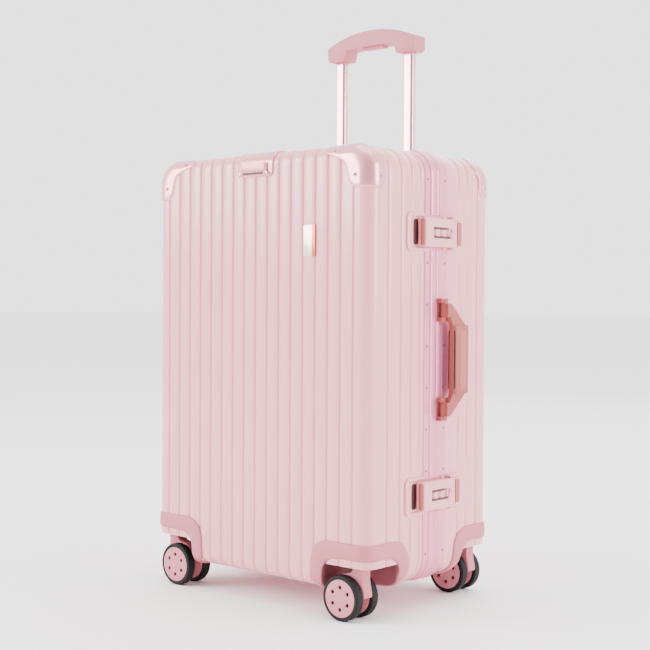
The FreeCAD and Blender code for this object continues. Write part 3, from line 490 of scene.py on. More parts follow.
# ---------------------------------------------------------------- the case's form
@dataclass
class CaseForm:
    """The rounded block that the shells, guards and housings all follow.

    Args:
        corner_r: Radius of the outline's corners.
        face_r: Radius between a face and the sides.
        wall: Thickness of a shell.
        band_half: Half width of the frame's raised band.
        flange_w: Width of a frame flange.
        rib_pitch: Distance between the ribs' grooves.
    """

    corner_r: float = 34.0
    face_r: float = 17.5
    wall: float = 2.6
    band_half: float = 14.0
    flange_w: float = 11.0
    rib_pitch: float = 22.0
    low: Points = field(init=False)
    high: Points = field(init=False)
    parting: float = field(init=False)

    def __post_init__(self) -> None:
        """Read the block's size from the two shells."""
        front_low, front_high = box_mm("front_shell")
        rear_low, rear_high = box_mm("rear_shell")
        self.low = np.minimum(front_low, rear_low)
        self.high = np.maximum(front_high, rear_high)
        self.parting = (front_high[1] + rear_low[1]) / 2
        self.centre = (self.low + self.high) / 2
        self.half = (self.high - self.low) / 2

    def distance(self, points: Points) -> tuple[Points, Points]:
        """Signed distance to the block and its outward direction.

        Args:
            points: Array of points.

        Returns:
            Distances and unit directions.
        """
        rel = points - self.centre
        sign = np.where(rel < 0, -1.0, 1.0)
        flat = np.abs(rel)
        q = np.stack([flat[:, 0] - (self.half[0] - self.corner_r),
                      flat[:, 2] - (self.half[2] - self.corner_r)], axis=1)
        grown = np.maximum(q, 0)
        length = np.linalg.norm(grown, axis=1)
        inside = length < 1e-9
        first = q[:, 0] >= q[:, 1]
        g2 = np.where(inside[:, None], np.stack([first, ~first], axis=1).astype(float),
                      grown / np.maximum(length, 1e-9)[:, None])
        d2 = length + np.minimum(np.max(q, axis=1), 0) - self.corner_r
        w = np.stack([d2 + self.face_r, flat[:, 1] - self.half[1] + self.face_r], axis=1)
        grown_w = np.maximum(w, 0)
        length_w = np.linalg.norm(grown_w, axis=1)
        inside_w = length_w < 1e-9
        first_w = w[:, 0] >= w[:, 1]
        gw = np.where(inside_w[:, None], np.stack([first_w, ~first_w], axis=1).astype(float),
                      grown_w / np.maximum(length_w, 1e-9)[:, None])
        dist = length_w + np.minimum(np.max(w, axis=1), 0) - self.face_r
        grad = np.stack([g2[:, 0] * gw[:, 0], gw[:, 1], g2[:, 1] * gw[:, 0]], axis=1) * sign
        return dist, grad

    def on_surface(self, points: Points, offset: Any = 0.0) -> tuple[Points, Points]:
        """Nearest points on the block grown by an offset.

        Args:
            points: Array of points, outside the block or just inside.
            offset: Distance from the block's surface, one number or one for each point.

        Returns:
            Points on the surface and the outward directions.
        """
        at = np.asarray(points, dtype=float)
        for _ in range(3):
            dist, grad = self.distance(at)
            at = at - dist[:, None] * grad
        _, grad = self.distance(at)
        return at + grad * np.reshape(offset, (-1, 1)), grad

    def outline(self, steps: int = 10, extra: Iterable[float] = ()) -> tuple[Points, Points]:
        """Points of the case's outline in X and Z with their outward directions.

        Args:
            steps: Steps in each corner.
            extra: Heights where the two upright sides get a point of their own.

        Returns:
            Array of (x, z) and array of directions, in order round the case.
        """
        hw, hh, r = self.half[0], self.half[2], self.corner_r
        places, outs = [], []
        for quarter, (cx, cz) in enumerate(((hw - r, hh - r), (-hw + r, hh - r), (-hw + r, -hh + r),
                                            (hw - r, -hh + r))):
            for k in range(steps + 1):
                turn = math.pi / 2 * (quarter + k / steps)
                outs.append((math.cos(turn), math.sin(turn)))
                places.append((cx + r * math.cos(turn), cz + r * math.sin(turn)))
            rows = sorted(z - self.centre[2] for z in extra if abs(z - self.centre[2]) < hh - r - 1)
            if quarter == 1:
                places += [(-hw, z) for z in reversed(rows)]
                outs += [(-1.0, 0.0)] * len(rows)
            if quarter == 3:
                places += [(hw, z) for z in rows]
                outs += [(1.0, 0.0)] * len(rows)
        return np.array(places) + self.centre[[0, 2]], np.array(outs)


FORM = CaseForm()


def smooth_step(values: Points) -> Points:
    """Ease from 0 to 1.

    Args:
        values: Shares, cut off below 0 and above 1.

    Returns:
        The eased shares.
    """
    t = np.clip(values, 0, 1)
    return t * t * (3 - 2 * t)


# ---------------------------------------------------------------- shells
@dataclass
class ShellHalf:
    """One half of the shell: a box grid drawn onto the rounded block, then grooved.

    Args:
        side: -1 for the front half, 1 for the rear half.
        groove_w: Width of a groove.
        groove_deep: Depth of a groove.
        ring_insets: Distances of the grooves that run round the sides from the face.
        pad_margin: How far the smooth patches reach past a latch.
        well_r: Radius of the opening over a caster.
    """

    side: int
    groove_w: float = 4.6
    groove_deep: float = 1.4
    ring_insets: tuple[float, ...] = ()
    pad_margin: float = 15.0
    well_r: float = 57.0

    @property
    def name(self) -> str:
        """Name of this half.

        Returns:
            "front" or "rear".
        """
        return "front" if self.side < 0 else "rear"

    def rib_lines(self) -> list[float]:
        """X of each upright groove.

        Returns:
            The places.
        """
        count = int((2 * self.half_w - 2 * FORM.face_r) / FORM.rib_pitch)
        return [FORM.centre[0] + (k - count / 2) * FORM.rib_pitch for k in range(count + 1)]

    @property
    def half_w(self) -> float:
        """Half of the case's width.

        Returns:
            The half width.
        """
        return float(FORM.half[0])

    def lines(self, low: float, high: float, grooves: Sequence[float], step: float,
              open_end: bool = False) -> Points:
        """Grid lines along one axis: fine in the rounded ends and across each groove.

        Args:
            low: First line.
            high: Last line.
            grooves: Middles of the grooves that cross this axis.
            step: Widest gap between lines.
            open_end: Whether the high end, or the low end on the rear half, is the open rim.

        Returns:
            Sorted lines.
        """
        arc = FORM.corner_r
        values = {low, high}
        ends = [(low, 1), (high, -1)]
        if open_end:
            ends = [ends[0]] if self.side < 0 else [ends[1]]
            arc = FORM.face_r
        for end, sign in ends:
            values.update(end + sign * arc * k / 9 for k in range(10))
            values.add(end + sign * FORM.face_r)
        for at in grooves:
            values.update(at + self.groove_w * f for f in (-0.5, -0.36, -0.2, 0, 0.2, 0.36, 0.5))
        ordered = sorted(v for v in values if low - 1e-6 <= v <= high + 1e-6)
        result = [ordered[0]]
        for value in ordered[1:]:
            gap = value - result[-1]
            if gap < 0.35 and value != high:
                continue
            pieces = max(1, math.ceil(gap / step))
            start = result[-1]
            result += [start + gap * k / pieces for k in range(1, pieces + 1)]
        return np.array(result)

    def groove_depth(self, at: Points) -> Points:
        """How far each surface point sinks into a groove, 0 to 1.

        Args:
            at: Points on the block's surface.

        Returns:
            Depth share of each point.
        """
        depth = np.zeros(len(at))
        face_y = FORM.centre[1] + self.side * FORM.half[1]
        from_face = np.abs(at[:, 1] - face_y)
        fade = 1 - smooth_step((from_face - FORM.face_r - 1) / 5)
        for x in self.rib_lines():
            depth = np.maximum(depth, self.section(at[:, 0] - x) * fade)
        for inset in self.ring_insets:
            ring = self.section(from_face - inset)
            depth = np.maximum(depth, ring * (1 - self.pads(at, inset)))
        return depth

    def section(self, across: Points) -> Points:
        """Shape across one groove: steep walls and a round floor.

        Args:
            across: Distances from the groove's middle.

        Returns:
            Share of the groove's depth at each.
        """
        t = np.clip(np.abs(across) / (self.groove_w / 2), 0, 1)
        return 0.5 + 0.5 * np.cos(math.pi * t)

    def pads(self, at: Points, inset: float) -> Points:
        """Share of each point that lies in a smooth patch beside a latch or the carry handle.

        Args:
            at: Points of the shell.
            inset: Which groove round the sides is asked about.

        Returns:
            Shares from 0 to 1.
        """
        on_side = at[:, 0] > FORM.centre[0] + FORM.half[0] - 4
        inner = sorted(self.ring_insets)[-2:]
        if inset not in inner:
            return np.zeros(len(at))
        share = np.zeros(len(at))
        zones = [box_mm("lock_lever_" + level) for level in ("upper", "lower")]
        zones = [(low[2] - self.pad_margin, high[2] + self.pad_margin) for low, high in zones]
        if self.side > 0:
            low, high = box_mm("handle_brackets")
            zones.append((low[2] + 12, high[2] - 12))
        for low, high in zones:
            middle, half = (low + high) / 2, (high - low) / 2
            share = np.maximum(share, 1 - smooth_step((np.abs(at[:, 2] - middle) - half) / 3))
        return share * on_side

    def build(self) -> bpy.types.Object:
        """Make the shell half.

        Returns:
            The piece.
        """
        low, high = FORM.low, FORM.high
        rim = FORM.parting + self.side * FORM.band_half
        y_low, y_high = (low[1], rim) if self.side < 0 else (rim, high[1])
        face_y = low[1] if self.side < 0 else high[1]
        rings = [face_y - self.side * inset for inset in self.ring_insets]
        xs = self.lines(low[0], high[0], self.rib_lines(), 12)
        zs = self.lines(low[2], high[2], (), 24)
        ys = self.lines(y_low, y_high, rings, 12, open_end=True)
        sheets = [self.sheet(xs, zs, 1, face_y), self.sheet(ys, zs, 0, low[0]),
                  self.sheet(ys, zs, 0, high[0]),
                  self.sheet(xs, ys, 2, low[2]), self.sheet(xs, ys, 2, high[2])]
        points, faces = [], []
        seen: dict[tuple[int, int, int], int] = {}
        for grid in sheets:
            index = np.empty(grid.shape[:2], dtype=int)
            for i in range(grid.shape[0]):
                for j in range(grid.shape[1]):
                    key = tuple(np.round(grid[i, j] * 100).astype(int))
                    if key not in seen:
                        seen[key] = len(points)
                        points.append(grid[i, j])
                    index[i, j] = seen[key]
            for i in range(grid.shape[0] - 1):
                for j in range(grid.shape[1] - 1):
                    faces.append((index[i, j], index[i + 1, j], index[i + 1, j + 1], index[i, j + 1]))
        surface, out = FORM.on_surface(np.array(points))
        faces = [f for f in faces if not self.cut_away(surface[list(f)].mean(axis=0))]
        depth = self.groove_depth(surface)
        outer = surface - out * (depth * self.groove_deep)[:, None]
        inner = surface - out * FORM.wall
        return self.close(outer, inner, faces, depth, out)

    @staticmethod
    def sheet(first: Points, second: Points, axis: int, value: float) -> Points:
        """A flat grid of points with one coordinate fixed.

        Args:
            first: Values of the first free coordinate.
            second: Values of the second.
            axis: The fixed coordinate.
            value: Its value.

        Returns:
            Grid of points.
        """
        a, b = np.meshgrid(first, second, indexing="ij")
        columns = {0: (np.full_like(a, value), a, b), 1: (a, np.full_like(a, value), b),
                   2: (a, b, np.full_like(a, value))}
        return np.stack(columns[axis], axis=-1)

    def cut_away(self, at: Points) -> bool:
        """Whether a face lies over a caster well or a handle tube.

        Args:
            at: Middle of the face.

        Returns:
            True where the shell is open.
        """
        for corner in ("right", "left"):
            axis = joint_mm("caster_%s_%s_swivel" % (self.name, corner))
            if at[2] < axis[2] - 4 and math.hypot(at[0] - axis[0], at[1] - axis[1]) < self.well_r:
                return True
        if self.side > 0 and at[2] > FORM.high[2] - 12:
            low, high = box_mm("outer_tubes")
            tube_half = (high[1] - low[1]) * 2 / 3
            near_tube = min(abs(at[0] - low[0] - tube_half), abs(at[0] - high[0] + tube_half)) < tube_half
            return low[1] - 0.5 < at[1] < high[1] + 0.5 and near_tube
        return False

    def close(self, outer: Points, inner: Points, faces: Faces, depth: Points,
              out: Points) -> bpy.types.Object:
        """Join the outer and the inner wall along every open edge.

        Args:
            outer: Grooved outer points.
            inner: Inner points in the same order.
            faces: Faces of one wall.
            depth: Groove share of each point, for the shade painted in the grooves.
            out: Outward directions, which set the winding.

        Returns:
            The piece.
        """
        turned = []
        for face in faces:
            a, b, c = (outer[i] for i in face[:3])
            if np.dot(np.cross(b - a, c - b), out[face[0]]) < 0:
                face = tuple(reversed(face))
            turned.append(face)
        count = len(outer)
        edges: dict[tuple[int, int], int] = {}
        for face in turned:
            for a, b in zip(face, face[1:] + face[:1]):
                edges[(a, b)] = edges.get((a, b), 0) + 1
        rims = [(b, a, a + count, b + count) for a, b in edges if (b, a) not in edges]
        walls = turned + [tuple(i + count for i in reversed(f)) for f in turned] + rims
        # Painted shade: the grooves are darkened by their depth; the inner wall is not.
        recess_shade = np.concatenate([depth * 0.22, np.zeros(count)])
        return mesh_piece(self.name + "_ribbed_shell", np.concatenate([outer, inner]), walls,
                          self.name + "_half", SHELL, (self.name + "_shell",), recess_shade, 55.0, outward=False)


# ---------------------------------------------------------------- frame
@dataclass
class FrameHalf:
    """One half of the aluminium frame, a section swept round the case.

    Args:
        side: -1 for the front half, 1 for the rear half.
        gap: Gap between the halves.
        flange_t: Thickness of the flange.
        inner: How far the section reaches inwards.
        notch_margin: How far the band is cut back past a latch.
    """

    side: int
    gap: float = 0.4
    flange_t: float = 1.2
    inner: float = 9.0
    notch_margin: float = 5.0

    def section(self, notched: bool) -> list[tuple[float, float]]:
        """The section as (outward, away from the parting plane) pairs.

        Args:
            notched: Whether the raised band is cut down beside a latch.

        Returns:
            Points of the closed section.
        """
        g, b, e = self.gap / 2, FORM.band_half, FORM.band_half + FORM.flange_w
        top = [(2.0, g), (2.5, g + 0.5), (2.75, g + 1.6), (2.8, g + 3.3), (2.45, g + 3.7), (2.45, g + 4.2),
               (2.95, g + 4.6),
               (3.0, g + 6.5), (3.0, b - 3.2), (2.9, b - 2.0), (2.55, b - 1.0), (1.9, b - 0.3),
               (self.flange_t, b)]
        if notched:
            top = [(self.flange_t, y) for _, y in top]
        return top + [(self.flange_t, e - 0.5), (self.flange_t - 0.4, e), (0.05, e), (0.05, b),
                      (-FORM.wall - 0.05, b),
                      (-FORM.wall - 0.05, e - 1), (-FORM.wall - 1.5, e - 1), (-FORM.wall - 1.5, b + 0.5),
                      (-self.inner + 0.6, b), (-self.inner, b - 0.6), (-self.inner, g + 0.5),
                      (-self.inner + 0.5, g)]

    def build(self) -> bpy.types.Object:
        """Sweep the section round the case.

        Returns:
            The piece.
        """
        zones = [box_mm("lock_lever_" + level) for level in ("upper", "lower")]
        zones = [(low[2] - self.notch_margin, high[2] + self.notch_margin) for low, high in zones]
        extra = [z + d for low, high in zones for z,
                 d in ((low, -0.01), (low, 0.01), (high, -0.01), (high, 0.01))]
        places, outs = FORM.outline(12, extra)
        name = "front" if self.side < 0 else "rear"
        points = []
        for (x, z), (ox, oz) in zip(places, outs):
            notched = ox > 0.99 and any(low < z < high for low, high in zones)
            for n, t in self.section(notched):
                points.append((x + ox * n, FORM.parting + self.side * t, z + oz * n))
        count = len(self.section(False))
        faces = rings_to_faces(len(places), count)
        last = (len(places) - 1) * count
        faces += [(last + j, last + (j + 1) % count, (j + 1) % count, j) for j in range(count)]
        return mesh_piece(name + "_frame_ring", np.array(points), faces, name + "_half", FRAME,
                          (name + "_frame",), crease_deg=32.0)


# ---------------------------------------------------------------- rivets
@dataclass
class RivetRow:
    """Dome-head rivets placed by a node tree on a set of points.

    Args:
        name: Name of the piece.
        body: Body they move with.
        head_r: Radius of a head.
        head_h: Height of a head.
        look: Finish of the heads.
    """

    name: str
    body: str
    head_r: float = 1.75
    head_h: float = 0.9
    look: Finish = STEEL

    def tree(self) -> bpy.types.NodeTree:
        """The node tree: a dome on every point, turned to its own direction.

        Returns:
            The geometry tree.
        """
        tree = bpy.data.node_groups.new(self.name + "_tree", "GeometryNodeTree")
        tree.interface.new_socket("Geometry", in_out="INPUT", socket_type="NodeSocketGeometry")
        tree.interface.new_socket("Head radius", in_out="INPUT", socket_type="NodeSocketFloat")
        tree.interface.new_socket("Head height", in_out="INPUT", socket_type="NodeSocketFloat")
        tree.interface.new_socket("Geometry", in_out="OUTPUT", socket_type="NodeSocketGeometry")
        source = add_node(tree, "NodeGroupInput")
        dome = add_node(tree, "GeometryNodeMeshUVSphere", {}, {"Segments": 12, "Rings": 7, "Radius": 1.0})
        scale = add_node(tree, "ShaderNodeCombineXYZ", {}, {
            "X": source.outputs["Head radius"], "Y": source.outputs["Head radius"],
            "Z": source.outputs["Head height"]})
        flat = add_node(tree, "GeometryNodeTransform", {},
                        {"Geometry": dome.outputs[0], "Scale": scale.outputs[0]})
        out = add_node(tree, "GeometryNodeInputNamedAttribute", {"data_type": "FLOAT_VECTOR"},
                       {"Name": "out"})
        turn = add_node(tree, "FunctionNodeAlignRotationToVector", {"axis": "Z"}, {"Vector": out.outputs[0]})
        place = add_node(tree, "GeometryNodeInstanceOnPoints", {}, {
            "Points": source.outputs["Geometry"], "Instance": flat.outputs[0], "Rotation": turn.outputs[0]})
        real = add_node(tree, "GeometryNodeRealizeInstances", {}, {0: place.outputs[0]})
        smooth = add_node(tree, "GeometryNodeSetShadeSmooth", {}, {0: real.outputs[0]})
        dress = add_node(tree, "GeometryNodeSetMaterial", {},
                         {"Geometry": smooth.outputs[0], "Material": self.look.material()})
        add_node(tree, "NodeGroupOutput", {}, {0: dress.outputs[0]})
        return tree

    def build(self, points: Points, outs: Points, replaces: Sequence[str] = ()) -> bpy.types.Object:
        """Place the rivets and turn the result into a plain mesh.

        Args:
            points: Places in millimetres.
            outs: Outward directions.
            replaces: CAD nodes they stand for.

        Returns:
            The piece.
        """
        mesh = bpy.data.meshes.new(self.name + "_points")
        mesh.from_pydata([tuple(p * MM) for p in points], [], [])
        mesh.attributes.new("out", "FLOAT_VECTOR",
                            "POINT").data.foreach_set("vector", np.asarray(outs, float).ravel())
        carrier = bpy.data.objects.new(self.name + "_carrier", mesh)
        bpy.context.scene.collection.objects.link(carrier)
        modifier = carrier.modifiers.new("rivets", "NODES")
        modifier.node_group = self.tree()
        wanted = {"Head radius": self.head_r * MM, "Head height": self.head_h * MM}
        for item in modifier.node_group.interface.items_tree:
            if item.in_out == "INPUT" and item.name in wanted:
                modifier[item.identifier] = wanted[item.name]
        plain = bpy.data.meshes.new_from_object(carrier.evaluated_get(bpy.context.evaluated_depsgraph_get()))
        bpy.data.objects.remove(carrier)
        plain.name = self.name
        obj = bpy.data.objects.new(self.name, plain)
        bpy.context.scene.collection.objects.link(obj)
        return finish_piece(obj, self.body, self.look, replaces)


def solid_centres(node: str) -> tuple[Points, Points]:
    """Middles of a CAD group's separate solids, and the way they stand off the case.

    Args:
        node: CAD node.

    Returns:
        Points on the case's surface grown by the flange, and outward directions.
    """
    work = bmesh.new()
    work.from_mesh(frame["nodes"][node].data)
    bmesh.ops.remove_doubles(work, verts=work.verts, dist=0.01 * MM)
    left, centres = set(work.verts), []
    while left:
        stack, group = [left.pop()], []
        while stack:
            vert = stack.pop()
            group.append(vert.co[:])
            for edge in vert.link_edges:
                other = edge.other_vert(vert)
                if other in left:
                    left.discard(other)
                    stack.append(other)
        centres.append(np.mean(group, axis=0) / MM)
    work.free()
    points = np.array(sorted(centres, key=lambda p: (round(p[0], 1), round(p[2], 1))))
    return FORM.on_surface(points, 1.2)


# ---------------------------------------------------------------- shaped pieces
def smooth_loop(points: Sequence[Sequence[float]], steps: int = 6) -> Points:
    """Closed smooth curve through points.

    Args:
        points: Points that the curve passes.
        steps: Steps between two points.

    Returns:
        Points of the curve.
    """
    b = np.asarray(points, dtype=float)
    a, c, d = np.roll(b, 1, 0), np.roll(b, -1, 0), np.roll(b, -2, 0)
    rows = [0.5 * (2 * b + (c - a) * t + (2 * a - 5 * b + 4 * c - d) * t ** 2 + (3 * b - a - 3 * c + d)
                   * t ** 3)
            for t in np.arange(steps) / steps]
    return np.stack(rows, axis=1).reshape(-1, b.shape[1])


def prism(name: str, outline: Sequence[tuple[float, float]], axis: int, low: float, high: float, body: str,
          look: Finish, edge_mm: float = 0.5, replaces: Sequence[str] = (),
          steps: int = 0) -> bpy.types.Object:
    """A plate or block with rounded edges: an outline pushed along one axis.

    Args:
        name: Name of the piece.
        outline: Points in the two other axes, in millimetres.
        axis: 0, 1 or 2 for X, Y or Z.
        low: Start along the axis.
        high: End along the axis.
        body: Body it moves with.
        look: Its finish.
        edge_mm: Radius of the edges.
        replaces: CAD nodes it stands for.
        steps: Steps between outline points when they are joined by a smooth curve, or 0 for straight sides.

    Returns:
        The piece.
    """
    flat = smooth_loop(outline, steps) if steps else np.asarray(outline, dtype=float)
    others = [k for k in range(3) if k != axis]
    points = np.zeros((2 * len(flat), 3))
    points[:, others] = np.concatenate([flat, flat])
    points[:, axis] = np.repeat([low, high], len(flat))
    count = len(flat)
    faces: Faces = [tuple(range(count)), tuple(range(count, 2 * count))]
    faces += [(i, (i + 1) % count, (i + 1) % count + count, i + count) for i in range(count)]
    obj = bare_object(name, points, faces)
    work = bmesh.new()
    work.from_mesh(obj.data)
    sharp = [e for e in work.edges if e.calc_face_angle(0.0) > math.radians(40)]
    bmesh.ops.bevel(work, geom=sharp, offset=edge_mm * MM, segments=3, profile=0.5, affect="EDGES",
                    clamp_overlap=True)
    work.to_mesh(obj.data)
    work.free()
    return finish_piece(obj, body, look, replaces, 34.0)


def rounded(u0: float, u1: float, v0: float, v1: float, radius: float) -> list[tuple[float, float]]:
    """Outline of a rounded rectangle.

    Args:
        u0: Start of the first side.
        u1: End of the first side.
        v0: Start of the second side.
        v1: End of the second side.
        radius: Radius of the corners.

    Returns:
        Points of the outline.
    """
    middles = ((u1 - radius, v1 - radius), (u0 + radius, v1 - radius), (u0 + radius, v0 + radius),
               (u1 - radius, v0 + radius))
    return [(mu + radius * math.cos(math.radians(90 * k + 18 * i)),
             mv + radius * math.sin(math.radians(90 * k + 18 * i)))
            for k, (mu, mv) in enumerate(middles) for i in range(6)]


@dataclass
class CornerGuards:
    """Three-lobed pressed caps over the two top corners of one half.

    Args:
        side: -1 for the front half, 1 for the rear half.
        lobes: Outline as (inwards, back, down) from the corner.
        rings: (share of the way from the corner, height over the shell).
        rivets: Places of the rivets in the same way.
    """

    side: int
    lobes: tuple[tuple[float, float, float], ...] = (
        (79, 0, 4), (76, 0, 9), (68, 0, 12.5), (57, 0, 16), (47, 0, 21), (40, 0, 29), (36.5, 0, 39),
        (34, 0, 49),
        (28, 0, 55.5), (18, 0, 57.5), (8, 0, 57.5), (0, 4, 57.5), (0, 14, 57.5), (0, 24, 55), (0, 29.5, 47),
        (0, 30, 37), (0, 31.5, 27), (0, 35.5, 19), (0, 38.5, 11), (0, 38.5, 3), (5, 38, 0), (14, 35.5, 0),
        (24, 30, 0), (36, 24, 0), (50, 19, 0), (64, 14, 0), (75, 8.5, 0), (79, 3, 0))
    rings: tuple[tuple[float, float], ...] = (
        (0.03, 1.8), (0.14, 1.8), (0.26, 1.8), (0.38, 1.8), (0.5, 1.8), (0.62, 1.8), (0.74, 1.8), (0.85, 1.8),
        (0.93, 1.8),
        (0.965, 1.6), (0.985, 1.1), (1.0, 0.3), (1.0, -0.6), (0.9, -0.7), (0.6, -0.7), (0.3, -0.7),
        (0.03, -0.7))
    rivets: tuple[tuple[float, float, float], ...] = ((60, 0, 8), (23, 0, 40), (0, 19, 42))

    def build(self) -> None:
        """Make both caps as one piece, with their washers and rivets."""
        name = "front" if self.side < 0 else "rear"
        points, faces = [], []
        loop = smooth_loop(self.lobes, 5)
        for mirror in (1, -1):
            start = len(points) * len(loop)
            corner, outline = self.place(np.zeros((1, 3)), mirror), self.place(loop, mirror)
            for share, lift in self.rings:
                points.append(FORM.on_surface(corner + (outline - corner) * share, lift)[0])
            count, rows = len(loop), len(self.rings)
            faces += [tuple(i + start for i in f) for f in rings_to_faces(rows, count)]
            faces += [tuple(start + i for i in range(count)),
                      tuple(start + (rows - 1) * count + i for i in range(count))]
        mesh_piece(name + "_corner_caps", np.concatenate(points), faces, name + "_half", GUARD,
                   (name + "_corner_guards",), crease_deg=50)
        places = np.concatenate([self.place(np.array(self.rivets, float), mirror) for mirror in (1, -1)])
        at, out = FORM.on_surface(places, 1.7)
        RivetRow(name + "_cap_washers", name + "_half", 3.3, 0.7, GUARD).build(at, out)
        RivetRow(name + "_cap_rivets", name + "_half", 2.0, 1.5, STEEL).build(at, out)

    def place(self, local: Points, mirror: int) -> Points:
        """Turn (inwards, back, down) into points of the case.

        Args:
            local: Points from the corner.
            mirror: 1 for the right corner, -1 for the left.

        Returns:
            The points.
        """
        corner_y = FORM.centre[1] + self.side * FORM.half[1]
        return np.stack([FORM.centre[0] + mirror * (FORM.half[0] - local[:, 0]),
                         corner_y - self.side * local[:, 1], FORM.high[2] - local[:, 2]], axis=1)


@dataclass
class CasterHousings:
    """Moulded lower corners of one half: a raised arch round a well painted dark as shade.

    Args:
        side: -1 for the front half, 1 for the rear half.
        arch: Pairs of outer and inner outline, (inwards, back, height) from the corner.
        under: Directions about the swivel axis, in degrees, of the part under the case.
        under_r: Outer and inner radius of that part.
        wall: Thickness of the moulding.
        roof_z: Height of the well's roof.
        spindle_r: Radius of the opening for the caster's spindle.
    """

    side: int
    arch: tuple[tuple[tuple[float, float, float], tuple[float, float, float]], ...] = (
        ((98, 0, 47), (78, 0, 47)), ((98, 0, 62), (77.5, 0, 57)), ((97, 0, 78), (76, 0, 66)),
        ((90, 0, 93), (71, 0, 74)),
        ((77, 0, 101), (62, 0, 79)), ((58, 0, 102.5), (50, 0, 80.5)), ((38, 0, 102.5), (35, 0, 81)),
        ((18, 0, 102.5), (16, 0, 81)),
        ((0, 0, 102.5), (0, 0, 81)), ((0, 18, 102.5), (0, 16, 81)), ((0, 36, 102.5), (0, 30, 81)),
        ((0, 54, 102), (0, 43, 80.5)),
        ((0, 68, 98.5), (0, 54, 78)), ((0, 79, 89), (0, 61.5, 71)), ((0, 84, 74), (0, 65.5, 61)),
        ((0, 84, 56), (0, 66, 50)))
    under: tuple[float, ...] = (70, 92, 114, 136, 158, 180, 196)
    under_r: tuple[float, float] = (67.0, 56.0)
    wall: float = 1.2
    roof_z: float = 82.5
    spindle_r: float = 9.0

    def build(self) -> None:
        """Make both housings as one piece."""
        name = "front" if self.side < 0 else "rear"
        points, faces, shade = [], [], []
        for mirror, corner in ((1, "right"), (-1, "left")):
            axis = joint_mm("caster_%s_%s_swivel" % (name, corner))
            outer, inner = (smooth_loop(loop, 5) for loop in self.loops(axis, mirror))
            rows = []
            for share, lift in ((0, -0.6), (0, 0.9), (0.03, 1.7), (0.08, 2.2), (0.35, 2.5), (0.65, 2.5),
                                (0.9, 2.3), (0.97, 1.5)):
                rows.append(FORM.on_surface(outer + (inner - outer) * share, lift)[0])
            rim = FORM.on_surface(inner, 0.2)[0]
            rows.append(rim)
            for reach, top in ((0.985, 70), (0.95, 76), (0.86, 80), (0.7, 82), (0.45, self.roof_z)):
                row = axis + (rim - axis) * reach
                row[:, 2] = np.maximum(rim[:, 2], top) if top < 80 else top
                rows.append(row)
            rows.append(axis + (rim - axis) / np.linalg.norm((rim - axis)[:, :2],
                                                             axis=1)[:, None] * self.spindle_r)
            rows[-1][:, 2] = self.roof_z
            start = sum(len(p) for p in points)
            faces += [tuple(i + start for i in f) for f in rings_to_faces(len(rows), len(outer))]
            points += rows
            # Painted shade: the rim and the well's rows get darker inwards towards the shade colour.
            shade += [np.full(len(outer), 0.0 if k < 8 else min(1.0,
                                                                0.45 + 0.12 * (k - 8)))
                      for k in range(len(rows))]
        obj = bare_object(name + "_corner_housings", np.concatenate(points), faces, np.concatenate(shade))
        mark_edges(obj.data, 50.0)
        thick = obj.modifiers.new("wall", "SOLIDIFY")
        thick.thickness, thick.offset = self.wall * MM, -1.0
        solid = bpy.data.meshes.new_from_object(obj.evaluated_get(bpy.context.evaluated_depsgraph_get()))
        obj.modifiers.remove(thick)
        obj.data = solid
        finish_piece(obj, name + "_half", HOUSING, (name + "_caster_housings",), None)

    def loops(self, axis: Points, mirror: int) -> tuple[Points, Points]:
        """Outer and inner outline as closed loops round one corner.

        Args:
            axis: Place of the caster's swivel.
            mirror: 1 for the right corner, -1 for the left.

        Returns:
            Outer and inner loop.
        """
        loops = []
        corner_y = FORM.centre[1] + self.side * FORM.half[1]
        for which in (0, 1):
            rows = [(FORM.centre[0] + mirror * (FORM.half[0] - p[which][0]),
                     corner_y - self.side * p[which][1], p[which][2])
                    for p in self.arch]
            for turn in self.under:
                reach = self.under_r[which]
                rows.append((axis[0] + mirror * reach * math.cos(math.radians(turn)),
                             axis[1] - self.side * reach * math.sin(math.radians(turn)), FORM.low[2]))
            loops.append(np.array(rows))
        return loops[0], loops[1]


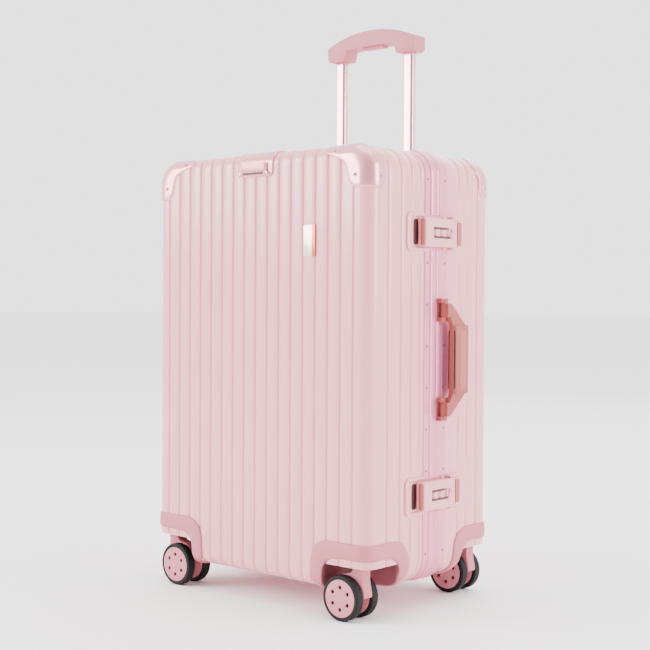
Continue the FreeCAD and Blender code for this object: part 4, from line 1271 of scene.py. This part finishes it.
@dataclass
class Caster:
    """Fork of one twin-wheel caster.

    Args:
        corner: Name of its corner.
        half_web: Half of the width between its wheels.
    """

    corner: str
    half_web: float = 8.3

    def build(self) -> None:
        """Make the collar, the neck with its mudguard and the smooth axle caps."""
        body = "caster_" + self.corner
        swivel = joint_mm(body + "_swivel")
        hub = joint_mm("wheel_%s_a_spin" % self.corner)
        out = 1.0 if swivel[0] > hub[0] else -1.0
        outline = [(10.5, 46), (10, 39), (7, 33.5), (0, 30.6), (-8, 29), (-13.5, 25), (-14, 18), (-8, 9),
                   (-4, -5), (4, -7.5),
                   (10, -3), (16, 1), (24, 1.4), (29.8, 2), (30.2, 8), (28.6, 15), (27, 24), (27, 34),
                   (27.5, 46)]
        places = [(hub[0] + out * x, hub[2] + z) for x, z in outline]
        prism(body + "_mudguard", places, 1, swivel[1] - self.half_web, swivel[1] + self.half_web, body,
              HOUSING, 1.6, ("caster_fork_" + self.corner,), 5)
        cup = [(-9.5, 0), (-9.5, 9.5), (-7, 10.6), (-4.5, 13.6), (-2.2, 15.2), (-0.6, 15.2), (-0.4, 14.6),
               (-0.4, 0)]
        points, faces = lathe(cup, swivel, np.array((0.0, 0.0, 1.0)))
        mesh_piece(body + "_collar", points, faces, body, HOUSING)
        for way, side in ((-1, "a"), (1, "b")):
            low, high = box_mm("wheel_hub_%s_%s" % (self.corner, side))
            face = low[1] if way < 0 else high[1]
            cap = [(0, 0), (0, 6.2), (way * 0.9, 5.8), (way * 1.3, 4.2), (way * 1.4, 0)]
            middle = np.array((hub[0], face - way * 0.9, hub[2]))
            points, faces = lathe(cap, middle, np.array((0.0, 1.0, 0.0)), 32)
            mesh_piece("%s_cap_%s" % (body, side), points, faces, "wheel_%s_%s" % (self.corner, side), HUB)


@dataclass
class Latch:
    """Fittings of one latch beside the castings that the CAD model gives.

    Args:
        level: "upper" or "lower".
    """

    level: str

    def build(self) -> None:
        """Make the roll, and the dark pieces painted as shade: the finger slot's sheet, the strip behind the
        lever, the slots by the dials and the dots.
        """
        low, high = box_mm("lock_lever_" + self.level)
        z, lever, face = (low[2] + high[2]) / 2, "lock_lever_" + self.level, FORM.high[0]
        roll = [(-18, 0), (-18, 2.6), (-16.8, 3.6), (16.8, 3.6), (18, 2.6), (18, 0)]
        points, faces = lathe(roll, np.array((high[0] - 3.0, low[1] + 2.2, z)), np.array((0.0, 0.0, 1.0)), 28)
        mesh_piece(lever + "_roll", points, faces, lever, HANDLE_BAND_AND_SHADE)
        # Painted shade: a dark sheet in the finger slot in front of the lever.
        prism(lever + "_finger_slot", rounded(low[1] - 8, low[1] + 1, z - 17, z + 17, 3.5), 0, face + 0.9,
              face + 1.7, "front_half", DARK_RUBBER_AND_SHADE, 0.2)
        # Painted shade: a dark strip behind the lever, where the recess wall lies in shade.
        prism(lever + "_rear_shade_strip", rounded(high[1] + 5.5, high[1] + 15, z - 16, z + 16, 2.5), 0, face + 8.6,
              face + 9.5, "rear_half", HANDLE_BAND_AND_SHADE, 0.3)
        # Painted shade: dark slots above and below the dials.
        for row, start, end in ((5.6, -16, 12), (-6.2, -16, 22)):
            prism("%s_slot_%s" % (lever, "high" if row > 0 else "low"),
                  rounded((low[1] + high[1]) / 2 + start, (low[1] + high[1]) / 2 + end, z + row - 1.5,
                          z + row + 1.5, 1.4), 0,
                  high[0] - 0.1, high[0] + 0.25, lever, SHADOW_GAP, 0.08)
        # Painted shade: dark dots that stand for small holes in shade.
        dots = np.array([(high[0], (low[1] + high[1]) / 2 + y, z + 0.6) for y in (-12, 3, 17, 28)])
        RivetRow(lever + "_index_dots", lever, 0.9, 0.5,
                 SHADOW_GAP).build(dots, np.tile((1.0, 0.0, 0.0), (4, 1)))


def front_fittings() -> None:
    """Slot of the hook plate painted dark as shade, its inlay, the badge's copper strip, and the carry
    handle's inlay with a dark plate painted as shadow on its front side.
    """
    low, high = box_mm("bag_hook")
    face = low[1] - 0.05
    middle = (low[0] + high[0]) / 2
    prism("hook_inlay", rounded(low[0] + 2, high[0] - 2, low[2] + 5, high[2] + 3, 2.5), 1, face - 0.3,
          face + 0.5, "bag_hook", ROSE_INLAY, 0.2)
    # Painted shade: a dark sheet in the hook's finger gap.
    prism("hook_finger_slot", rounded(middle - 20, middle + 20, low[2] + 0.5, low[2] + 3.6, 1.5), 1,
          face - 0.35, face + 0.4, "bag_hook", SHADOW_GAP, 0.1)
    low, high = box_mm("badge")
    prism("badge_plate", rounded(low[0], high[0], low[2], high[2], 1.2), 1, low[1], high[1] - 0.1,
          "front_half", BADGE, 0.4, ("badge",))
    prism("badge_strip", rounded(high[0] - 5.6, high[0] + 0.2, low[2] - 0.2, high[2] + 0.2, 1.0), 1,
          low[1] - 0.3, low[1] + 0.8, "front_half", COPPER, 0.2)
    low, high = box_mm("carry_handle")
    z, x = (low[2] + high[2]) / 2, high[0]
    near = box_mm("handle_brackets")[1][1] + 4.5
    # Painted shadow: a dark plate on the grip's front side stands for the shade that falls there.
    prism("carry_handle_shadow_side", rounded(x - 12.4, x - 0.8, z - 41, z + 41, 4), 1, near - 2.2, near + 1.2,
          "carry_handle", DARK_RUBBER_AND_SHADE, 0.7)
    prism("carry_handle_inlay", rounded(near + 8, high[1] - 8, z - 40, z + 40, 4), 0, x - 0.4, x + 0.35,
          "carry_handle", HANDLE_BAND_AND_SHADE, 0.25)


@dataclass
class Interior:
    """Fabric inside the case over the two fitted linings: a divider and crossed straps.

    Args:
        strap_w: Width of the webbing.
        cloth_t: Thickness of the divider.
        pitch: Distance between stitches.
        hem: Distance of the stitches from the divider's edge.
        strap_in: How far inside the lining's edge a strap ends.
        strap_foot: Height of a strap's lower end over the lining's foot.
        strap_drop: How far a strap's upper end lies under the lining's top.
    """

    strap_w: float = 25.0
    cloth_t: float = 0.9
    pitch: float = 7.0
    hem: float = 5.0
    strap_in: float = 24.0
    strap_foot: float = 92.0
    strap_drop: float = 30.0

    def build(self) -> None:
        """Make every soft piece and its stitches."""
        low, high = box_mm("front_lining")
        x0, x1, z0, z1 = low[0] + 16, high[0] - 16, low[2] + 66, high[2] - 16
        y = high[1] - 6
        divider = self.panel("front_divider", x0, x1, z0, z1, y, "front_half")
        edge = [(x, z) for x in np.arange(x0 + 6, x1 - 5, self.pitch) for z in (z0 + self.hem, z1 - self.hem)]
        edge += [(x, z) for z in np.arange(z0 + 12, z1 - 11,
                                           self.pitch) for x in (x0 + self.hem, x1 - self.hem)]
        points = np.array([(x, y + self.cloth_t, z) for x, z in edge])
        RivetRow("divider_stitches", "front_half", 0.8, 0.5,
                 THREAD).build(points, np.tile((0.0, 1.0, 0.0), (len(points), 1)))
        low, high = box_mm("rear_lining")
        y = low[1] + 9
        left, right = low[0] + self.strap_in, high[0] - self.strap_in
        foot, top = low[2] + self.strap_foot, high[2] - self.strap_drop
        for number, (first_x, last_x) in enumerate(((left, right), (right, left))):
            start, end = (first_x, foot), (last_x, top)
            strap, length = self.strap("rear_strap_%d" % (number + 1), start, end, y + 2.2 * number)
        middle = ((low[0] + high[0]) / 2, y + 1.6, (low[2] + self.strap_foot + high[2] - self.strap_drop) / 2)
        prism("strap_buckle", rounded(middle[0] - 19, middle[0] + 19, middle[2] - 24, middle[2] + 24, 5), 1,
              y - 3.6, y + 5.4, "rear_half", DARK_RUBBER_AND_SHADE, 1.2)

    def panel(self, name: str, x0: float, x1: float, z0: float, z1: float, y: float,
              body: str) -> bpy.types.Object:
        """A taut cloth panel across one half, a little slack in the middle.

        Args:
            name: Name of the piece.
            x0: Left edge.
            x1: Right edge.
            z0: Lower edge.
            z1: Upper edge.
            y: Depth of its plane.
            body: Body it moves with.

        Returns:
            The panel.
        """
        nx, nz = 25, 37
        grid = []
        for sign in (1, -1):
            for i in range(nx):
                for j in range(nz):
                    u, v = i / (nx - 1), j / (nz - 1)
                    slack = 2.2 * math.sin(math.pi * u) * math.sin(math.pi * v)
                    slack += 0.25 * math.sin(9 * u + 5 * v)
                    grid.append((x0 + (x1 - x0) * u, y - slack + sign * self.cloth_t / 2, z0 + (z1 - z0) * v))
        return self.closed(name, grid, nx, nz, body, LINING)

    def strap(self, name: str, start: tuple[float, float], end: tuple[float, float],
              y: float) -> tuple[bpy.types.Object, float]:
        """A flat strap from one corner to the other.

        Args:
            name: Name of the piece.
            start: Lower end, across and up.
            end: Upper end.
            y: Depth of its plane.

        Returns:
            The strap and its length.
        """
        first, last = np.array(start), np.array(end)
        length = float(np.linalg.norm(last - first))
        across = np.array(((last - first)[1], -(last - first)[0])) / length * self.strap_w / 2
        steps, grid = 49, []
        for sign in (1, -1):
            for k in range(steps):
                at = first + (last - first) * k / (steps - 1)
                for edge in (-1, 0, 1):
                    x, z = at + across * edge
                    grid.append((x, y + sign * 0.6, z))
        return self.closed(name, grid, steps, 3, "rear_half", WEBBING), length

    @staticmethod
    def closed(name: str, grid: Sequence[tuple[float, float, float]], rows: int, columns: int, body: str,
               look: Finish) -> bpy.types.Object:
        """Close two layers of a grid into one thin solid.

        Args:
            name: Name of the piece.
            grid: Points of the two layers.
            rows: Rows of a layer.
            columns: Columns of a layer.
            body: Body it moves with.
            look: Its finish.

        Returns:
            The piece.
        """
        count = rows * columns
        cell = [(i * columns + j, (i + 1) * columns + j, (i + 1) * columns + j + 1, i * columns + j + 1)
                for i in range(rows - 1) for j in range(columns - 1)]
        rim = [i * columns for i in range(rows)] + [(rows - 1) * columns + j for j in range(1, columns)]
        rim += [i * columns + columns - 1 for i in range(rows - 2, -1, -1)] + list(range(columns - 2, 0, -1))
        walls = [(a, b, b + count, a + count) for a, b in zip(rim, rim[1:] + rim[:1])]
        faces = cell + [tuple(i + count for i in f) for f in cell] + walls
        return mesh_piece(name, np.array(grid), faces, body, look, crease_deg=60)


# ---------------------------------------------------------------- stage
@dataclass
class Stage:
    """Pale floor, soft lights and the camera.

    Args:
        camera_at: Camera's place in millimetres.
        ahead: Camera's viewing direction.
        right: Camera's right-hand direction.
        lens: Focal length on a 36 mm sensor.
        sky: Strength of the white surroundings.
        dark_patch: Direction of the dark patch in them.
    """

    camera_at: tuple[float, float, float] = (1238.7, -1387.8, 417.4)
    ahead: tuple[float, float, float] = (-0.66452, 0.74701, -0.01988)
    right: tuple[float, float, float] = (0.74707, 0.66472, 0.00586)
    lens: float = 71.22
    sky: float = 2.7
    dark_patch: tuple[float, float, float] = (0.66, -0.75, 0.05)

    def build(self) -> None:
        """Set up the floor, the lights, the world and the camera."""
        self.floor()
        self.lights()
        self.world()
        data = bpy.data.cameras.new("camera")
        data.lens, data.sensor_width, data.clip_end = self.lens, 36.0, 60.0
        camera = bpy.data.objects.new("camera", data)
        bpy.context.scene.collection.objects.link(camera)
        back = -Vector(self.ahead).normalized()
        right = Vector(self.right)
        right = (right - back * right.dot(back)).normalized()
        up = back.cross(right)
        turn = Matrix((right, up, back)).transposed().to_4x4()
        camera.matrix_world = Matrix.Translation(Vector(self.camera_at) * MM) @ turn
        bpy.context.scene.camera = camera

    def floor(self) -> None:
        """A wide plain floor."""
        mesh = bpy.data.meshes.new("floor")
        mesh.from_pydata([(-30, -30, 0), (30, -30, 0), (30, 30, 0), (-30, 30, 0)], [], [(0, 1, 2, 3)])
        mesh.materials.append(FLOOR.material())
        floor = bpy.data.objects.new("floor", mesh)
        bpy.context.scene.collection.objects.link(floor)

    def lights(self) -> None:
        """Large soft boxes: left front, right side, top and back."""
        target = Vector((0, 0, 0.35))
        boxes = (("key_left_front", (-2.2, -2.6, 1.5), 1.6, 130, "#fffaf8"),
                 ("side_right", (3.2, 1.2, 1.2), 1.6, 100, "#fff8f8"),
                 ("top", (0.2, 0.2, 3.2), 2.6, 60, "#ffffff"), ("back", (-0.8, 3.0, 2.0), 2.2, 30, "#ffffff"))
        for name, place, size, watts, colour in boxes:
            data = bpy.data.lights.new(name, "AREA")
            data.shape, data.size, data.energy, data.color = "SQUARE", size, watts, linear(colour)[:3]
            lamp = bpy.data.objects.new(name, data)
            lamp.location = place
            lamp.rotation_euler = (target - Vector(place)).to_track_quat("-Z", "Y").to_euler()
            bpy.context.scene.collection.objects.link(lamp)

    def world(self) -> None:
        """White surroundings with a soft dark patch that the upright edges mirror."""
        world = bpy.data.worlds.new("studio")
        world.use_nodes = True
        tree = world.node_tree
        tree.nodes.clear()
        where = add_node(tree, "ShaderNodeTexCoord").outputs["Generated"]
        near = add_node(tree, "ShaderNodeVectorMath", {"operation": "DOT_PRODUCT"},
                        {0: where, 1: self.dark_patch})
        level = add_node(tree, "ShaderNodeMapRange", {"interpolation_type": "SMOOTHSTEP"},
                         {0: near.outputs["Value"], 1: 0.35, 2: 0.95, 3: self.sky, 4: self.sky * 0.18})
        glow = add_node(tree, "ShaderNodeBackground", {},
                        {"Color": linear("#ffffff"), "Strength": level.outputs[0]})
        add_node(tree, "ShaderNodeOutputWorld", {}, {"Surface": glow.outputs[0]})
        bpy.context.scene.world = world


def main() -> None:
    """Build every piece in order, then the stage."""
    logging.basicConfig(level=logging.INFO, format="%(name)s: %(message)s")
    ShellHalf(-1, ring_insets=(38.0, 65.0, 87.0, 106.0)).build()
    ShellHalf(1, ring_insets=(32.0, 55.0, 75.0)).build()
    for side in (-1, 1):
        FrameHalf(side).build()
        CornerGuards(side).build()
        CasterHousings(side).build()
    for name in ("front", "rear"):
        places, outs = solid_centres(name + "_rivets")
        RivetRow(name + "_flange_rivets", name + "_half").build(places, outs, (name + "_rivets",))
    others = {
        "frame_seal": SEAL, "lock_bases": LATCH, "latch_trays": LATCH, "handle_brackets": HANDLE,
        "outer_tubes": TUBE, "middle_tubes": TUBE, "inner_tubes": TUBE, "tube_bezel": GRIP,
        "trolley_grip": GRIP,
        "release_button": GRIP, "hook_plate": GUARD, "bag_hook": LATCH, "carry_handle": HANDLE,
        "lock_lever_upper": LATCH, "lock_lever_lower": LATCH, "lock_slider_upper": DIAL,
        "lock_slider_lower": DIAL,
        "front_hinge_leaves": FRAME, "rear_hinge_leaves": FRAME, "front_lining": LINING,
        "rear_lining": LINING,
    }
    body_of = {n: b for b, names in frame["record"]["behaviour"]["bodies"].items() for n in names}
    for node in body_of:
        if node.startswith("tyre"):
            others[node] = TYRE
        elif node.startswith("wheel_hub"):
            others[node] = HUB
        elif node.startswith("lock_dial"):
            others[node] = DIAL
    for node, look in others.items():
        softened(node, body_of[node], look, 0.5)
    for corner in ("front_right", "front_left", "rear_right", "rear_left"):
        Caster(corner).build()
    for level in ("upper", "lower"):
        Latch(level).build()
    front_fittings()
    Interior().build()
    Stage().build()


if __name__ == "__main__":
    main()
